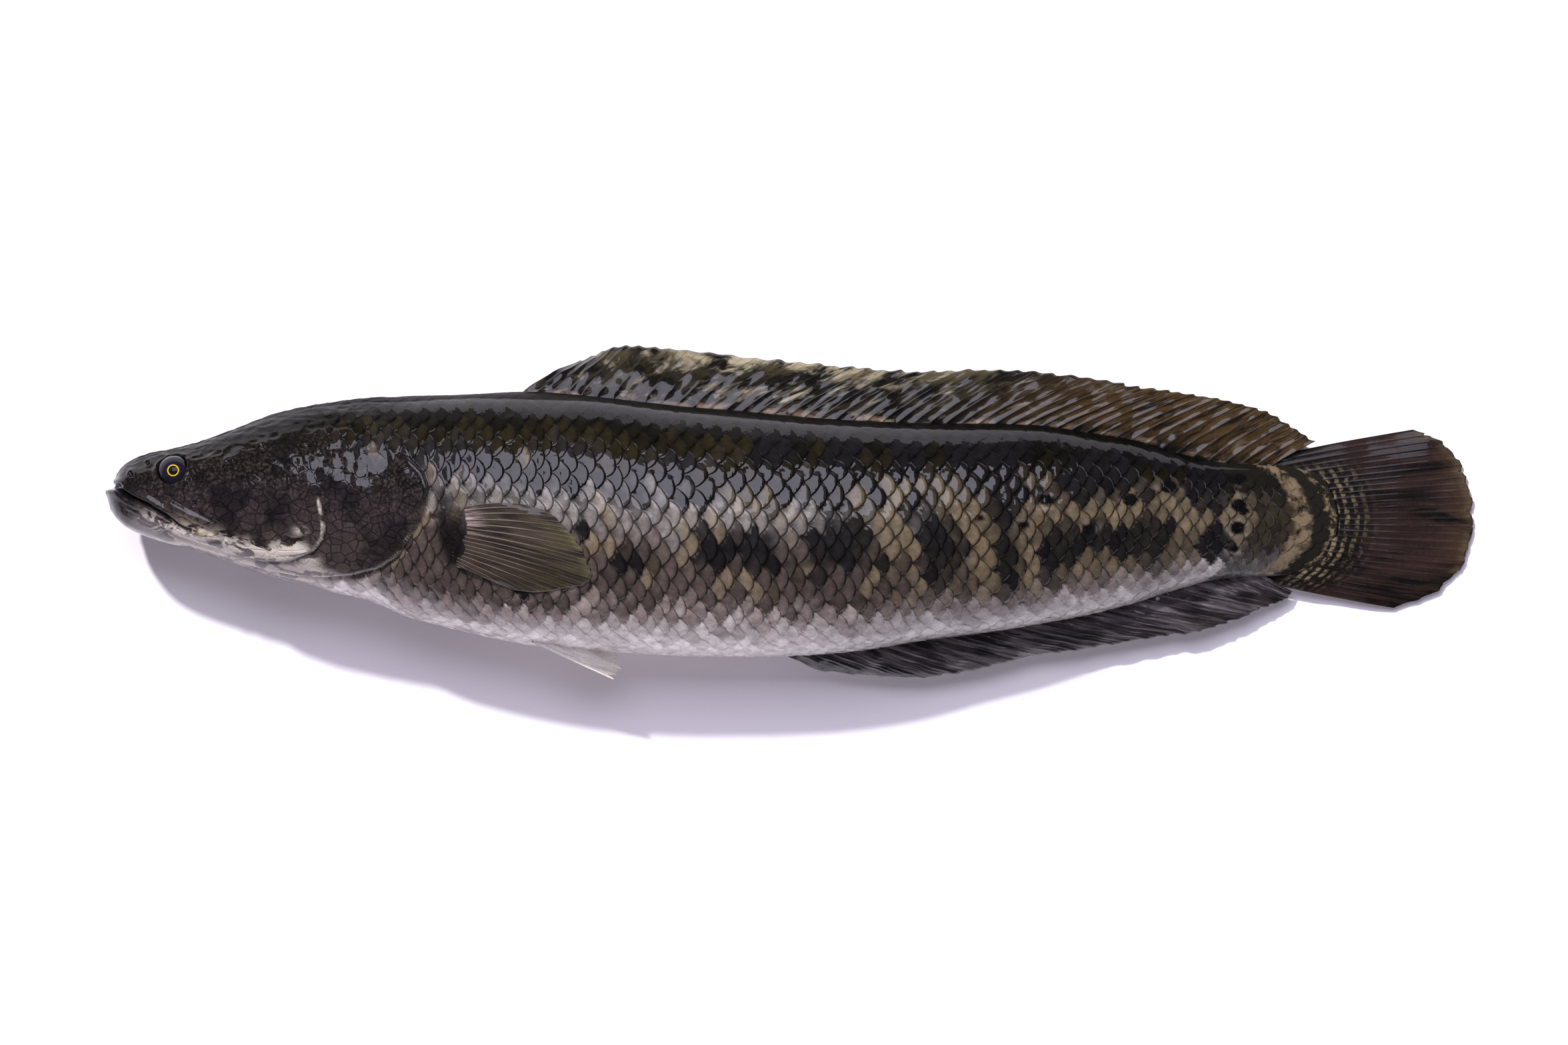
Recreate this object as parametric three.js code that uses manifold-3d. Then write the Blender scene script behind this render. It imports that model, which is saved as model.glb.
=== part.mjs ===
// A whole raw snakehead, a long round-bodied freshwater fish, lying on its right side on a flat surface.
// Millimetres. +X runs from jaw to tail, +Y from belly to back, +Z up out of the left flank.
// While it is modelled, x = 0 is the jaw tip and y = 0 the long axis; the last lines move the origin to the
// middle of the underside.
import * as THREE from "three";
import { mergeVertices } from "three/addons/utils/BufferGeometryUtils.js";
import Module from "manifold-3d";

const wasm = await Module();
wasm.setup();

// Head and trunk.
const bodyLength = 442; // jaw tip to the root of the tail fin
const bodyDepth = 90.5; // back to belly where it is deepest
const bodyWidth = 69; // flank to flank
const drawnWidth = 69; // the width for which the heights in the stations are given
const sectionPower = 2.15; // 2 is an ellipse, more is squarer
const skinGap = 0.3; // clearance between the body and everything that is rooted in it
const rootDepth = 3; // how deep a fin starts inside the body before it is cut to the skin
const bodyRings = 66;
const bodySides = 32;

// Eyes.
const eyeDiameter = 13;
const eyeOpening = 10.9; // the disc of the eye that shows in its socket
const eyeFromJaw = 0.0534 * bodyLength;
const eyeAboveAxis = 0.212 * bodyDepth;

// Fins. A height is measured square to the body, a sweep is how far the tips lie behind the roots.
const rayThickness = 1.7;
const webThickness = 1.0;
const edgeThickness = 0.9;
const dorsalFin = {
  start: 0.337 * bodyLength,
  length: 0.622 * bodyLength,
  height: 19.7,
  sweep: 39,
  rays: 46,
  droop: 0.3,
};
const analFin = {
  start: 0.55 * bodyLength,
  length: 0.403 * bodyLength,
  height: 8.7,
  sweep: 42,
  rays: 31,
  droop: 0.45,
};
const tailFin = {
  rootX: bodyLength - 1,
  rootSpan: 0.442 * bodyDepth,
  length: 59,
  spread: 66,
  rays: 16,
  tipHeight: 2.2,
};
const pectoralFin = {
  fromJaw: 0.2907 * bodyLength,
  aboveAxis: -6.2,
  rootSpan: 15.5,
  length: 47.5,
  rays: 17,
  thickness: 0.9,
};
const pectoralStandoff = { left: 3.0, right: 1.05 }; // between the skin and the middle of the fin
const pelvicFin = {
  fromJaw: 0.3575 * bodyLength,
  rootSpan: 7,
  length: 33,
  drop: 7,
  spread: 7,
  rays: 6,
  apart: 12,
  droop: 0.42,
};

const flesh = new THREE.MeshStandardMaterial({ color: 0x3d3732, roughness: 0.3, metalness: 0 });
const darkFin = new THREE.MeshStandardMaterial({ color: 0x2e2a22, roughness: 0.35, metalness: 0 });
const oliveFin = new THREE.MeshStandardMaterial({ color: 0x4d4533, roughness: 0.35, metalness: 0 });
const paleFin = new THREE.MeshStandardMaterial({ color: 0xb5aba0, roughness: 0.4, metalness: 0 });
const eyeWet = new THREE.MeshStandardMaterial({ color: 0x14141f, roughness: 0.1, metalness: 0 });

// Stations of the body. Each row: place along the length, back line, belly line (shares of the depth), half width
// (share of half the width), and in mm the height of the axis, the gap under the flank (below 0 it is pressed
// flat) and how far the belly edge sags below the axis.
const stations = [
  [0.0, 0.125, 0.075, 0.2, 30, 23.1, 0],
  [0.0065, 0.178, 0.018, 0.36, 30.1, 17.7, 0],
  [0.0225, 0.247, -0.037, 0.49, 30.3, 13.4, 0],
  [0.054, 0.296, -0.092, 0.6, 30.7, 10, 0],
  [0.098, 0.358, -0.158, 0.73, 31.2, 5.8, 0.5],
  [0.138, 0.436, -0.22, 0.825, 31.7, 2.2, 1],
  [0.186, 0.485, -0.261, 0.9, 32.3, -0.7, 2],
  [0.221, 0.499, -0.327, 0.935, 32.9, -1, 3.5],
  [0.256, 0.508, -0.384, 0.965, 33.5, 0.4, 5],
  [0.295, 0.518, -0.43, 0.985, 34, 1.8, 6.5],
  [0.335, 0.524, -0.476, 0.995, 34.3, 2, 8],
  [0.403, 0.502, -0.51, 1.0, 34.3, 1.6, 9],
  [0.455, 0.476, -0.527, 1.0, 33.7, -1, 9],
  [0.51, 0.45, -0.537, 0.98, 32.2, -1.9, 8.5],
  [0.575, 0.424, -0.53, 0.93, 30.2, -1.9, 8],
  [0.68, 0.398, -0.468, 0.81, 26.2, -1.7, 6],
  [0.78, 0.382, -0.4, 0.65, 21.1, -1.3, 4],
  [0.85, 0.334, -0.322, 0.5, 16.4, -0.8, 2],
  [0.915, 0.241, -0.228, 0.33, 11.3, -0.1, 1],
  [0.96, 0.232, -0.214, 0.215, 8.6, 1.2, 0],
  [0.985, 0.228, -0.206, 0.12, 6.9, 2.8, 0],
  [1.0, 0.18, -0.16, 0.06, 6.3, 4.2, 0],
];
const outline = new THREE.CatmullRomCurve3(
  stations.map(([at, back, belly]) => new THREE.Vector3(at, back, belly)),
  false,
  "catmullrom",
);
const girth = new THREE.CatmullRomCurve3(
  stations.map(([, , , half, axis, gap]) => new THREE.Vector3(half, axis, gap)),
  false,
  "catmullrom",
);
const bellySag = new THREE.CatmullRomCurve3(
  stations.map(([at, , , , , , sag]) => new THREE.Vector3(at, sag, 0)),
  false,
  "catmullrom",
);

// The body's measures where the station parameter is t, from 0 at the jaw to 1 at the tail.
function measuresAt(t) {
  const o = outline.getPoint(t);
  const g = girth.getPoint(t);
  const thicker = bodyWidth / drawnWidth;
  return {
    x: o.x * bodyLength,
    back: o.y * bodyDepth,
    belly: o.z * bodyDepth,
    axis: g.y * thicker,
    upper: (g.x * bodyWidth) / 2,
    lower: g.y * thicker - g.z,
    sag: bellySag.getPoint(t).y,
  };
}

// The same at a distance x from the jaw, found by halving.
function measuresAtX(x) {
  let low = 0;
  let high = 1;
  for (let i = 0; i < 40; i++) {
    const middle = (low + high) / 2;
    if (measuresAt(middle).x < x) low = middle;
    else high = middle;
  }
  return measuresAt((low + high) / 2);
}

// A point of the cross-section: a squarish ellipse whose belly half hangs lower, pressed flat by the surface it
// lies on. Angle 0 is the back, a quarter turn the left flank on top, a half turn the belly.
function sectionPoint(m, angle, grown = 0) {
  const c = Math.cos(angle);
  const s = Math.sin(angle);
  const middle = (m.back + m.belly) / 2;
  const halfDepth = (m.back - m.belly) / 2 + grown;
  const sag = c < 0 ? m.sag : 0;
  const across = Math.sign(c) * Math.abs(c) ** (2 / sectionPower);
  const rise = Math.abs(s) ** (2 / sectionPower);
  const z = m.axis - sag + (s >= 0 ? (m.upper + sag + grown) * rise : -(m.lower - sag + grown) * rise);
  return new THREE.Vector3(m.x, middle + across * halfDepth, Math.max(z, -grown));
}

// Height of the upper (side 1) or lower (side -1) flank's skin over a place on the body.
function flankHeight(x, y, side) {
  const m = measuresAtX(x);
  const across = (y - (m.back + m.belly) / 2) / ((m.back - m.belly) / 2);
  const sag = across < 0 ? m.sag : 0;
  const inside = Math.max(1 - Math.abs(across) ** sectionPower, 0);
  const rise = inside ** (1 / sectionPower);
  const half = side > 0 ? m.upper + sag : m.lower - sag;
  return m.axis - sag + side * half * rise;
}

// A closed geometry from a grid of points, rings[i][j], whose rings close on themselves, with flat ends.
function loftGeometry(rings) {
  const sides = rings[0].length;
  const positions = rings.flat().flatMap((p) => [p.x, p.y, p.z]);
  const index = [];
  for (let i = 0; i < rings.length - 1; i++) {
    for (let j = 0; j < sides; j++) {
      const k = (j + 1) % sides;
      const a = i * sides + j;
      const b = i * sides + k;
      index.push(a, b, a + sides, b, b + sides, a + sides);
    }
  }
  for (const [ring, facesForward] of [[0, false], [rings.length - 1, true]]) {
    const centre = positions.length / 3;
    const middle = rings[ring].reduce((sum, p) => sum.add(p), new THREE.Vector3()).divideScalar(sides);
    positions.push(middle.x, middle.y, middle.z);
    for (let j = 0; j < sides; j++) {
      const a = ring * sides + j;
      const b = ring * sides + ((j + 1) % sides);
      index.push(...(facesForward ? [a, b, centre] : [b, a, centre]));
    }
  }
  const geometry = new THREE.BufferGeometry();
  geometry.setAttribute("position", new THREE.Float32BufferAttribute(positions, 3));
  geometry.setIndex(index);
  return geometry;
}

function solidOf(geometry) {
  const bare = new THREE.BufferGeometry();
  bare.setAttribute("position", geometry.getAttribute("position"));
  if (geometry.index) bare.setIndex(geometry.index);
  const merged = mergeVertices(bare, 1e-4);
  const vertProperties = new Float32Array(merged.attributes.position.array);
  const triVerts = new Uint32Array(merged.index.array);
  const solid = new wasm.Manifold(new wasm.Mesh({ numProp: 3, vertProperties, triVerts }));
  if (solid.volume() > 0) return solid;
  return new wasm.Manifold(new wasm.Mesh({ numProp: 3, vertProperties, triVerts: triVerts.reverse() }));
}

function geometryOf(solid) {
  const mesh = solid.getMesh();
  const geometry = new THREE.BufferGeometry();
  geometry.setAttribute("position", new THREE.BufferAttribute(mesh.vertProperties, mesh.numProp));
  geometry.setIndex(new THREE.BufferAttribute(mesh.triVerts, 1));
  return geometry;
}

// The body as rings of cross-section points; grown swells it all over.
function bodySolid(grown = 0) {
  const rings = [];
  for (let i = 0; i <= bodyRings; i++) {
    const m = measuresAt(i / bodyRings);
    if (i === 0) m.x -= grown;
    if (i === bodyRings) m.x += grown;
    const ring = [];
    for (let j = 0; j < bodySides; j++) ring.push(sectionPoint(m, (j / bodySides) * 2 * Math.PI, grown));
    rings.push(ring);
  }
  return solidOf(loftGeometry(rings));
}

// Centre of an eye: sunk below the skin so that only the opening's disc shows.
function eyeCentre(side) {
  const step = 0.5;
  const z = flankHeight(eyeFromJaw, eyeAboveAxis, side);
  const slopeX = (flankHeight(eyeFromJaw + step, eyeAboveAxis, side) - z) / step;
  const slopeY = (flankHeight(eyeFromJaw, eyeAboveAxis + step, side) - z) / step;
  const outward = new THREE.Vector3(-slopeX, -slopeY, 1).multiplyScalar(side).normalize();
  const sunk = Math.sqrt((eyeDiameter / 2) ** 2 - (eyeOpening / 2) ** 2);
  return new THREE.Vector3(eyeFromJaw, eyeAboveAxis, z).addScaledVector(outward, -sunk);
}

function ball(centre, diameter) {
  return new THREE.SphereGeometry(diameter / 2, 20, 12).translate(centre.x, centre.y, centre.z);
}

// A row of a shape table at share u, by a smooth curve through its rows; column 0 is the share itself.
function rowAt(rows, u) {
  const last = rows.length - 1;
  let i = 0;
  while (i < last - 1 && rows[i + 1][0] < u) i++;
  const t = (u - rows[i][0]) / (rows[i + 1][0] - rows[i][0]);
  const before = rows[Math.max(i - 1, 0)];
  const after = rows[Math.min(i + 2, last)];
  return rows[i].map((a, k) => {
    const b = rows[i + 1][k];
    const leave = (b - before[k]) / 2;
    const arrive = (after[k] - a) / 2;
    return a + t * (leave + t * (3 * (b - a) - 2 * leave - arrive + t * (2 * (a - b) + leave + arrive)));
  });
}

// A fin as a thin closed sheet with a thicker rib on each ray. middle(u, v) is the mid surface, u across the rays
// and v from root to tip.
function finSolid(middle, rays, { rib = rayThickness, web = webThickness, steps = 4 } = {}) {
  const across = (rays - 1) * 2;
  const side = (i, j, sign) => {
    const u = i / across;
    const v = j / steps;
    const near = 1e-3;
    const alongU = middle(Math.min(u + near, 1), v).sub(middle(Math.max(u - near, 0), v));
    const alongV = middle(u, Math.min(v + near, 1)).sub(middle(u, Math.max(v - near, 0)));
    const normal = alongU.cross(alongV).normalize();
    const root = i % 2 ? web : rib;
    const half = (root + (Math.min(edgeThickness, root) - root) * v) / 2;
    return middle(u, v).addScaledVector(normal, sign * half);
  };
  const rings = [];
  for (let i = 0; i <= across; i++) {
    const ring = [];
    for (let j = 0; j <= steps; j++) ring.push(side(i, j, 1));
    for (let j = steps; j >= 0; j--) ring.push(side(i, j, -1));
    rings.push(ring);
  }
  return solidOf(loftGeometry(rings));
}

// Back fin. Rows: share along the root, height share, sweep share.
const dorsalRows = [
  [0, 0.68, 0.58],
  [0.075, 0.89, 0.44],
  [0.15, 0.93, 0.42],
  [0.275, 0.88, 0.76],
  [0.41, 0.89, 0.82],
  [0.55, 1.0, 0.9],
  [0.7, 0.74, 1.0],
  [0.82, 0.75, 0.85],
  [0.91, 0.82, 0.72],
  [1, 0.45, 0.47],
];

// Belly fin, folded back. Rows as for the back fin.
const analRows = [
  [0, 0.62, 0.45],
  [0.08, 0.95, 0.72],
  [0.19, 1.0, 0.78],
  [0.34, 0.8, 0.83],
  [0.5, 0.66, 0.93],
  [0.67, 0.72, 1.0],
  [0.81, 0.76, 0.83],
  [0.91, 0.9, 0.62],
  [1, 0.67, 0.32],
];

// A long fin rooted in the back (side 1) or the belly (side -1), drooping towards the surface it lies over.
function longFinMiddle(fin, rows, side) {
  return (u, v) => {
    const [, height, sweep] = rowAt(rows, u);
    const x = fin.start + u * fin.length;
    const m = measuresAtX(x);
    const edge = side > 0 ? m.back : m.belly;
    const rootZ = m.axis - (side < 0 ? m.sag : 0);
    return new THREE.Vector3(
      x + sweep * fin.sweep * v ** 1.25,
      edge + side * (-rootDepth + (rootDepth + height * fin.height) * v),
      rootZ * (1 - fin.droop * v * v),
    );
  };
}

// Tail fin: a rounded fan. Rows: share across from the lower edge, length share, half spread share.
const tailRows = [
  [0, 0.5, -0.965],
  [0.12, 0.79, -0.8],
  [0.25, 0.92, -0.575],
  [0.4, 0.985, -0.24],
  [0.55, 1.0, 0.105],
  [0.7, 0.97, 0.41],
  [0.84, 0.885, 0.72],
  [0.94, 0.77, 0.91],
  [1, 0.64, 1.0],
];

function tailFinMiddle(u, v) {
  const [, reach, spread] = rowAt(tailRows, u);
  const end = measuresAt(1);
  const across = u * 2 - 1;
  const middle = (end.back + end.belly) / 2;
  const root = new THREE.Vector3(
    tailFin.rootX - rootDepth - 11 * across * across,
    middle + (across * tailFin.rootSpan) / 2,
    end.axis,
  );
  const tip = new THREE.Vector3(
    tailFin.rootX + reach * tailFin.length,
    middle + (spread * tailFin.spread) / 2,
    tailFin.tipHeight,
  );
  return root.lerp(tip, v);
}

// Breast fins, laid back along the flanks. Rows: share from the upper ray down, length share, place across.
const pectoralRows = [
  [0, 0.7, 8.6],
  [0.14, 0.86, 3.0],
  [0.3, 0.98, -5.5],
  [0.44, 1.0, -12.2],
  [0.56, 0.95, -16.8],
  [0.72, 0.78, -18.4],
  [0.87, 0.58, -19.0],
  [1, 0.34, -16.4],
];

function pectoralMiddle(side) {
  const standoff = side > 0 ? pectoralStandoff.left : pectoralStandoff.right;
  return (u, v) => {
    const [, reach, across] = rowAt(pectoralRows, u);
    const rootY = pectoralFin.aboveAxis + (0.5 - u) * pectoralFin.rootSpan;
    const x = pectoralFin.fromJaw + reach * pectoralFin.length * v;
    const y = rootY + (pectoralFin.aboveAxis + across - rootY) * v;
    const clear = THREE.MathUtils.lerp(-rootDepth / 2, standoff, THREE.MathUtils.smoothstep(v, 0, 0.4));
    return new THREE.Vector3(x, y, flankHeight(x, y, side) + side * clear);
  };
}

// Belly fins: a narrow pair folded back under the belly, their tips hanging towards the surface.
function pelvicMiddle(side) {
  const m = measuresAtX(pelvicFin.fromJaw);
  const rootZ = m.axis - m.sag + (side * pelvicFin.apart) / 2;
  return (u, v) => {
    const x = pelvicFin.fromJaw + (u - 0.5) * pelvicFin.rootSpan + v * pelvicFin.length * (1 - 0.3 * u);
    const y = m.belly + rootDepth - v * (rootDepth + pelvicFin.drop) + (u - 0.5) * v * pelvicFin.spread;
    return new THREE.Vector3(x, y, rootZ * (1 - pelvicFin.droop * v ** 1.5));
  };
}

const group = new THREE.Group();

function addNode(name, solid, material) {
  const mesh = new THREE.Mesh(geometryOf(solid), material);
  mesh.name = name;
  group.add(mesh);
}

const grownBody = bodySolid(skinGap);
const eyes = [["left_eye", eyeCentre(1)], ["right_eye", eyeCentre(-1)]];
let body = bodySolid();
for (const [, centre] of eyes) body = body.subtract(solidOf(ball(centre, eyeDiameter + 2 * skinGap)));
addNode("body", body, flesh);
for (const [name, centre] of eyes) addNode(name, solidOf(ball(centre, eyeDiameter)), eyeWet);

const thinRib = { rib: pectoralFin.thickness, web: pectoralFin.thickness * 0.8 };
const fins = [
  ["dorsal_fin", finSolid(longFinMiddle(dorsalFin, dorsalRows, 1), dorsalFin.rays, { steps: 3 }), darkFin],
  ["anal_fin", finSolid(longFinMiddle(analFin, analRows, -1), analFin.rays, { steps: 3 }), darkFin],
  ["caudal_fin", finSolid(tailFinMiddle, tailFin.rays), darkFin],
  ["left_pectoral_fin", finSolid(pectoralMiddle(1), pectoralFin.rays, { ...thinRib, steps: 6 }), oliveFin],
  ["right_pectoral_fin", finSolid(pectoralMiddle(-1), pectoralFin.rays, { ...thinRib, steps: 6 }), oliveFin],
  ["left_pelvic_fin", finSolid(pelvicMiddle(1), pelvicFin.rays, { steps: 3 }), paleFin],
  ["right_pelvic_fin", finSolid(pelvicMiddle(-1), pelvicFin.rays, { steps: 3 }), paleFin],
];
for (const [name, solid, material] of fins) addNode(name, solid.subtract(grownBody), material);

const box = new THREE.Box3().setFromObject(group);
const middle = box.getCenter(new THREE.Vector3());
group.position.set(-middle.x, -middle.y, -box.min.z);

export default group;
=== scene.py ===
import math
import bpy
import numpy as np
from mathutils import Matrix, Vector


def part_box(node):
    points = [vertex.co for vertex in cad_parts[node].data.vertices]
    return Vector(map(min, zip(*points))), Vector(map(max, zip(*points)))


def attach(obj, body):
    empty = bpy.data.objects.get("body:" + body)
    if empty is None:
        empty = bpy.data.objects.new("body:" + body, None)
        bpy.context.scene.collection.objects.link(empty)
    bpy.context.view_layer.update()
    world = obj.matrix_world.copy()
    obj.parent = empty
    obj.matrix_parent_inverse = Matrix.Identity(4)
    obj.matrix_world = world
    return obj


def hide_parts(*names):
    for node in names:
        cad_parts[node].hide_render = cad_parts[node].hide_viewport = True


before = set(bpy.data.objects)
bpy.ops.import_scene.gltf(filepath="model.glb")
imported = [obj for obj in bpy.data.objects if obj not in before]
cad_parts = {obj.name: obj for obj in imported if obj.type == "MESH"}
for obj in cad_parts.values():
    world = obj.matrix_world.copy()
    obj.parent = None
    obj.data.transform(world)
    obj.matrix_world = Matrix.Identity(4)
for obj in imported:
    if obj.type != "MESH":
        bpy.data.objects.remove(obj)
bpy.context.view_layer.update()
bodyLow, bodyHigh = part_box("body")
mm = 0.001


def throughRows(rows, at):
    # smooth curve through the rows of a table, first column is the place (Hermite, slopes from neighbours)
    rows = np.array(rows, float)
    place, values = rows[:, 0], rows[:, 1:]
    slopes = np.gradient(values, place, axis=0)
    at = np.clip(np.asarray(at, float), place[0], place[-1])
    k = np.clip(np.searchsorted(place, at) - 1, 0, len(place) - 2)
    step = (place[k + 1] - place[k])[..., None]
    s = ((at - place[k])[..., None]) / step
    a, b, p, q = values[k], values[k + 1], slopes[k] * step, slopes[k + 1] * step
    return a + s * (p + s * (3 * (b - a) - 2 * p - q + s * (2 * (a - b) + p + q)))


def ease(low, high, value):
    # 0 below low, 1 above high, smooth between
    t = np.clip((value - low) / (high - low), 0, 1)
    return t * t * (3 - 2 * t)


def hump(value, width):
    # bell curve, 1 at 0
    return np.exp(-(value / width) ** 2)


def softNoise(points, cell, seed):
    # lattice noise from 0 to 1: random corners blended smoothly, cell is the lattice spacing
    q = points / cell
    corner = np.floor(q).astype(np.int64)
    f = q - corner
    f = f * f * (3 - 2 * f)
    total = np.zeros(points.shape[:-1])
    for k in range(8):
        pick = np.array([k & 1, (k >> 1) & 1, (k >> 2) & 1])
        c = corner + pick
        mixed = (c[..., 0] * 73856093) ^ (c[..., 1] * 19349663) ^ (c[..., 2] * 83492791) ^ (seed * 2654435761)
        mixed = (mixed ^ (mixed >> 13)) * 1274126177
        mixed = mixed ^ (mixed >> 16)
        total += (mixed & 0xFFFF) / 65535.0 * np.where(pick, f, 1 - f).prod(-1)
    return total


def fromLine(x, y, line):
    # distance to a polyline drawn on the side view, how far along it (0 to 1), and which side (+ is left of it)
    line = np.array(line, float)
    best = np.full(x.shape, 1e9)
    along = np.zeros(x.shape)
    side = np.ones(x.shape)
    lengths = np.hypot(*(line[1:] - line[:-1]).T)
    before = np.concatenate([[0], np.cumsum(lengths)])
    for k in range(len(line) - 1):
        (ax, ay), (bx, by) = line[k], line[k + 1]
        dx, dy = bx - ax, by - ay
        t = np.clip(((x - ax) * dx + (y - ay) * dy) / lengths[k] ** 2, 0, 1)
        d = np.hypot(x - ax - t * dx, y - ay - t * dy)
        closer = d < best
        best = np.where(closer, d, best)
        along = np.where(closer, (before[k] + t * lengths[k]) / before[-1], along)
        side = np.where(closer, np.sign(dx * (y - ay) - dy * (x - ax)), side)
    return best, along, side


def surfaceNormals(grid, closedAcross=False):
    # cross product of the two directions of a grid of points
    alongX = np.gradient(grid, axis=0)
    if closedAcross:
        wrapped = np.concatenate([grid[:, -1:], grid, grid[:, :1]], axis=1)
        alongY = np.gradient(wrapped, axis=1)[:, 1:-1]
    else:
        alongY = np.gradient(grid, axis=1)
    n = np.cross(alongX, alongY)
    return n / np.maximum(np.linalg.norm(n, axis=-1, keepdims=True), 1e-9)


def ringFaces(rings, sides):
    # four-sided faces between rings of points that close on themselves, and a fan of triangles to a pole at
    # either end; the poles are the last two points
    i, j = np.meshgrid(np.arange(rings - 1), np.arange(sides), indexing="ij")
    after = (j + 1) % sides
    corners = [i * sides + j, i * sides + after, (i + 1) * sides + after, (i + 1) * sides + j]
    k = np.arange(sides)
    last, pole = (rings - 1) * sides, rings * sides
    fans = np.vstack([np.stack([(k + 1) % sides, k, np.full(sides, pole)], -1),
                      np.stack([last + k, last + (k + 1) % sides, np.full(sides, pole + 1)], -1)])
    return np.stack(corners, -1).reshape(-1, 4), fans


def facesOut(points, quads, outward):
    # whether the faces look along outward, which has one direction for the first corner of each
    first, second, fourth = points[quads[:, 0]], points[quads[:, 1]], points[quads[:, 3]]
    return (np.cross(second - first, fourth - first) * outward).sum() > 0


def meshFrom(name, points, quads, triangles=(), uvs=None, values=None):
    # points in mm in the making frame, moved to the row frame; uvs is {map name: (points, 2)}
    mesh = bpy.data.meshes.new(name)
    placed = (points + shift) * mm
    faces = [tuple(f) for f in np.asarray(quads).tolist()] + [tuple(f) for f in np.asarray(triangles).tolist()]
    mesh.from_pydata(placed.tolist(), [], faces)
    loops = np.zeros(len(mesh.loops), np.int64)
    mesh.loops.foreach_get("vertex_index", loops)
    for mapName, coords in (uvs or {}).items():
        layer = mesh.uv_layers.new(name=mapName)
        chosen = coords[loops] if len(coords) == len(points) else coords
        layer.data.foreach_set("uv", np.asarray(chosen, np.float32).ravel())
    for valueName, value in (values or {}).items():
        layer = mesh.attributes.new(valueName, "FLOAT", "POINT")
        layer.data.foreach_set("value", np.asarray(value, np.float32).ravel())
    mesh.polygons.foreach_set("use_smooth", np.ones(len(mesh.polygons), bool))
    mesh.update()
    piece = bpy.data.objects.new(name, mesh)
    bpy.context.scene.collection.objects.link(piece)
    return piece


def finishPiece(piece, node, material):
    piece.data.materials.append(material)
    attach(piece, "root")
    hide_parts(node)
    print("made", piece.name, len(piece.data.polygons), "faces")


# rows: distance from the jaw, back line, belly line
outlineRows = [
    (0, 13.2, 8.4), (0.4, 15.6, 6.4), (2.4, 19.0, 2.6), (5, 21.2, -0.3), (9.8, 23.4, -3.4), (17.3, 25.6, -6.4),
    (24, 27.0, -8.5), (34.3, 29.7, -11.0), (44, 33.3, -14.2), (53.7, 36.9, -17.4), (63, 40.0, -20.3),
    (73, 42.4, -22.4), (87, 44.5, -25.8), (98, 45.3, -28.8), (106, 45.7, -32.4), (120, 46.3, -37.1),
    (136, 47.0, -41.0), (148, 47.4, -43.2), (160, 47.2, -44.9), (178, 46.0, -46.4), (201, 43.4, -47.7),
    (228, 40.6, -48.6), (254, 38.3, -48.4), (282, 36.9, -46.0), (301, 36.2, -42.6), (330, 35.6, -38.8),
    (345, 34.8, -36.2), (362, 32.6, -32.6), (376, 30.2, -29.0), (391, 25.7, -24.2), (404, 22.4, -21.0),
    (424, 21.0, -19.6), (435, 20.6, -18.8), (442, 16.5, -14.6),
]
# rows: distance from the jaw, half width, height of the axis, gap under the flank, sag of the belly
girthRows = [
    (0, 6.5, 30, 23.5, 0), (1.2, 9.6, 30.1, 20.5, 0), (2.9, 12.4, 30.1, 17.7, 0), (9.9, 16.9, 30.3, 13.4, 0),
    (23.9, 20.9, 30.7, 10, 0), (43.3, 25.6, 31.2, 5.8, 0.5), (61, 28.6, 31.7, 2.2, 1), (82.2, 31, 32.3, -0.7, 2),
    (97.7, 32.2, 32.9, -1, 3.5), (113.2, 33.3, 33.5, 0.4, 5), (130.4, 34, 34, 1.8, 6.5), (148, 34.3, 34.3, 2, 8),
    (178, 34.5, 34.3, 1.6, 9), (201, 34.5, 33.7, -1, 9), (225.4, 33.8, 32.2, -1.9, 8.5), (254, 32.1, 30.2, -1.9, 8),
    (300.6, 27.9, 26.2, -1.7, 6), (344.8, 22.4, 21.1, -1.3, 4), (375.7, 17.25, 16.4, -0.8, 2),
    (404.4, 11.4, 11.3, -0.1, 1), (424.3, 7.4, 8.6, 1.2, 0), (435.4, 4.5, 6.9, 2.6, 0), (442, 2.6, 6.3, 3.7, 0),
]
# the middle of the tail fin: its place across, its height at the root and how far it sinks to the tips
tailAxis = {"y": 0.9, "rootZ": 6.3, "fall": 4.1}
trunk = {"length": 442.0, "highestBack": 47.4, "sectionPower": 2.15}
# all shapes are worked out in mm with x = 0 at the jaw and y = 0 on the long axis, then moved by this much
shift = np.array([bodyLow.x / mm, bodyHigh.y / mm - trunk["highestBack"], 0.0])


def measures(x):
    # back line, belly line, half width, axis height, lower half thickness and sag at distances x from the jaw
    back, belly = np.moveaxis(throughRows(outlineRows, x), -1, 0)
    half, axis, gap, sag = np.moveaxis(throughRows(girthRows, x), -1, 0)
    return back, belly, half, axis, axis - gap, sag


def sectionAt(x, angle):
    # squarish ellipse whose belly half hangs lower, pressed flat by the surface under it
    back, belly, upper, axis, lower, sag = measures(x)
    c, s = np.cos(angle), np.sin(angle)
    sag = np.where(c < 0, sag, 0)
    power = trunk["sectionPower"]
    across = np.sign(c) * np.abs(c) ** (2 / power)
    rise = np.abs(s) ** (2 / power)
    y = (back + belly) / 2 + across * (back - belly) / 2
    z = axis - sag + np.where(s >= 0, (upper + sag) * rise, -(lower - sag) * rise)
    return np.stack([np.broadcast_to(x, y.shape), y, np.maximum(z, 0)], axis=-1)


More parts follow.
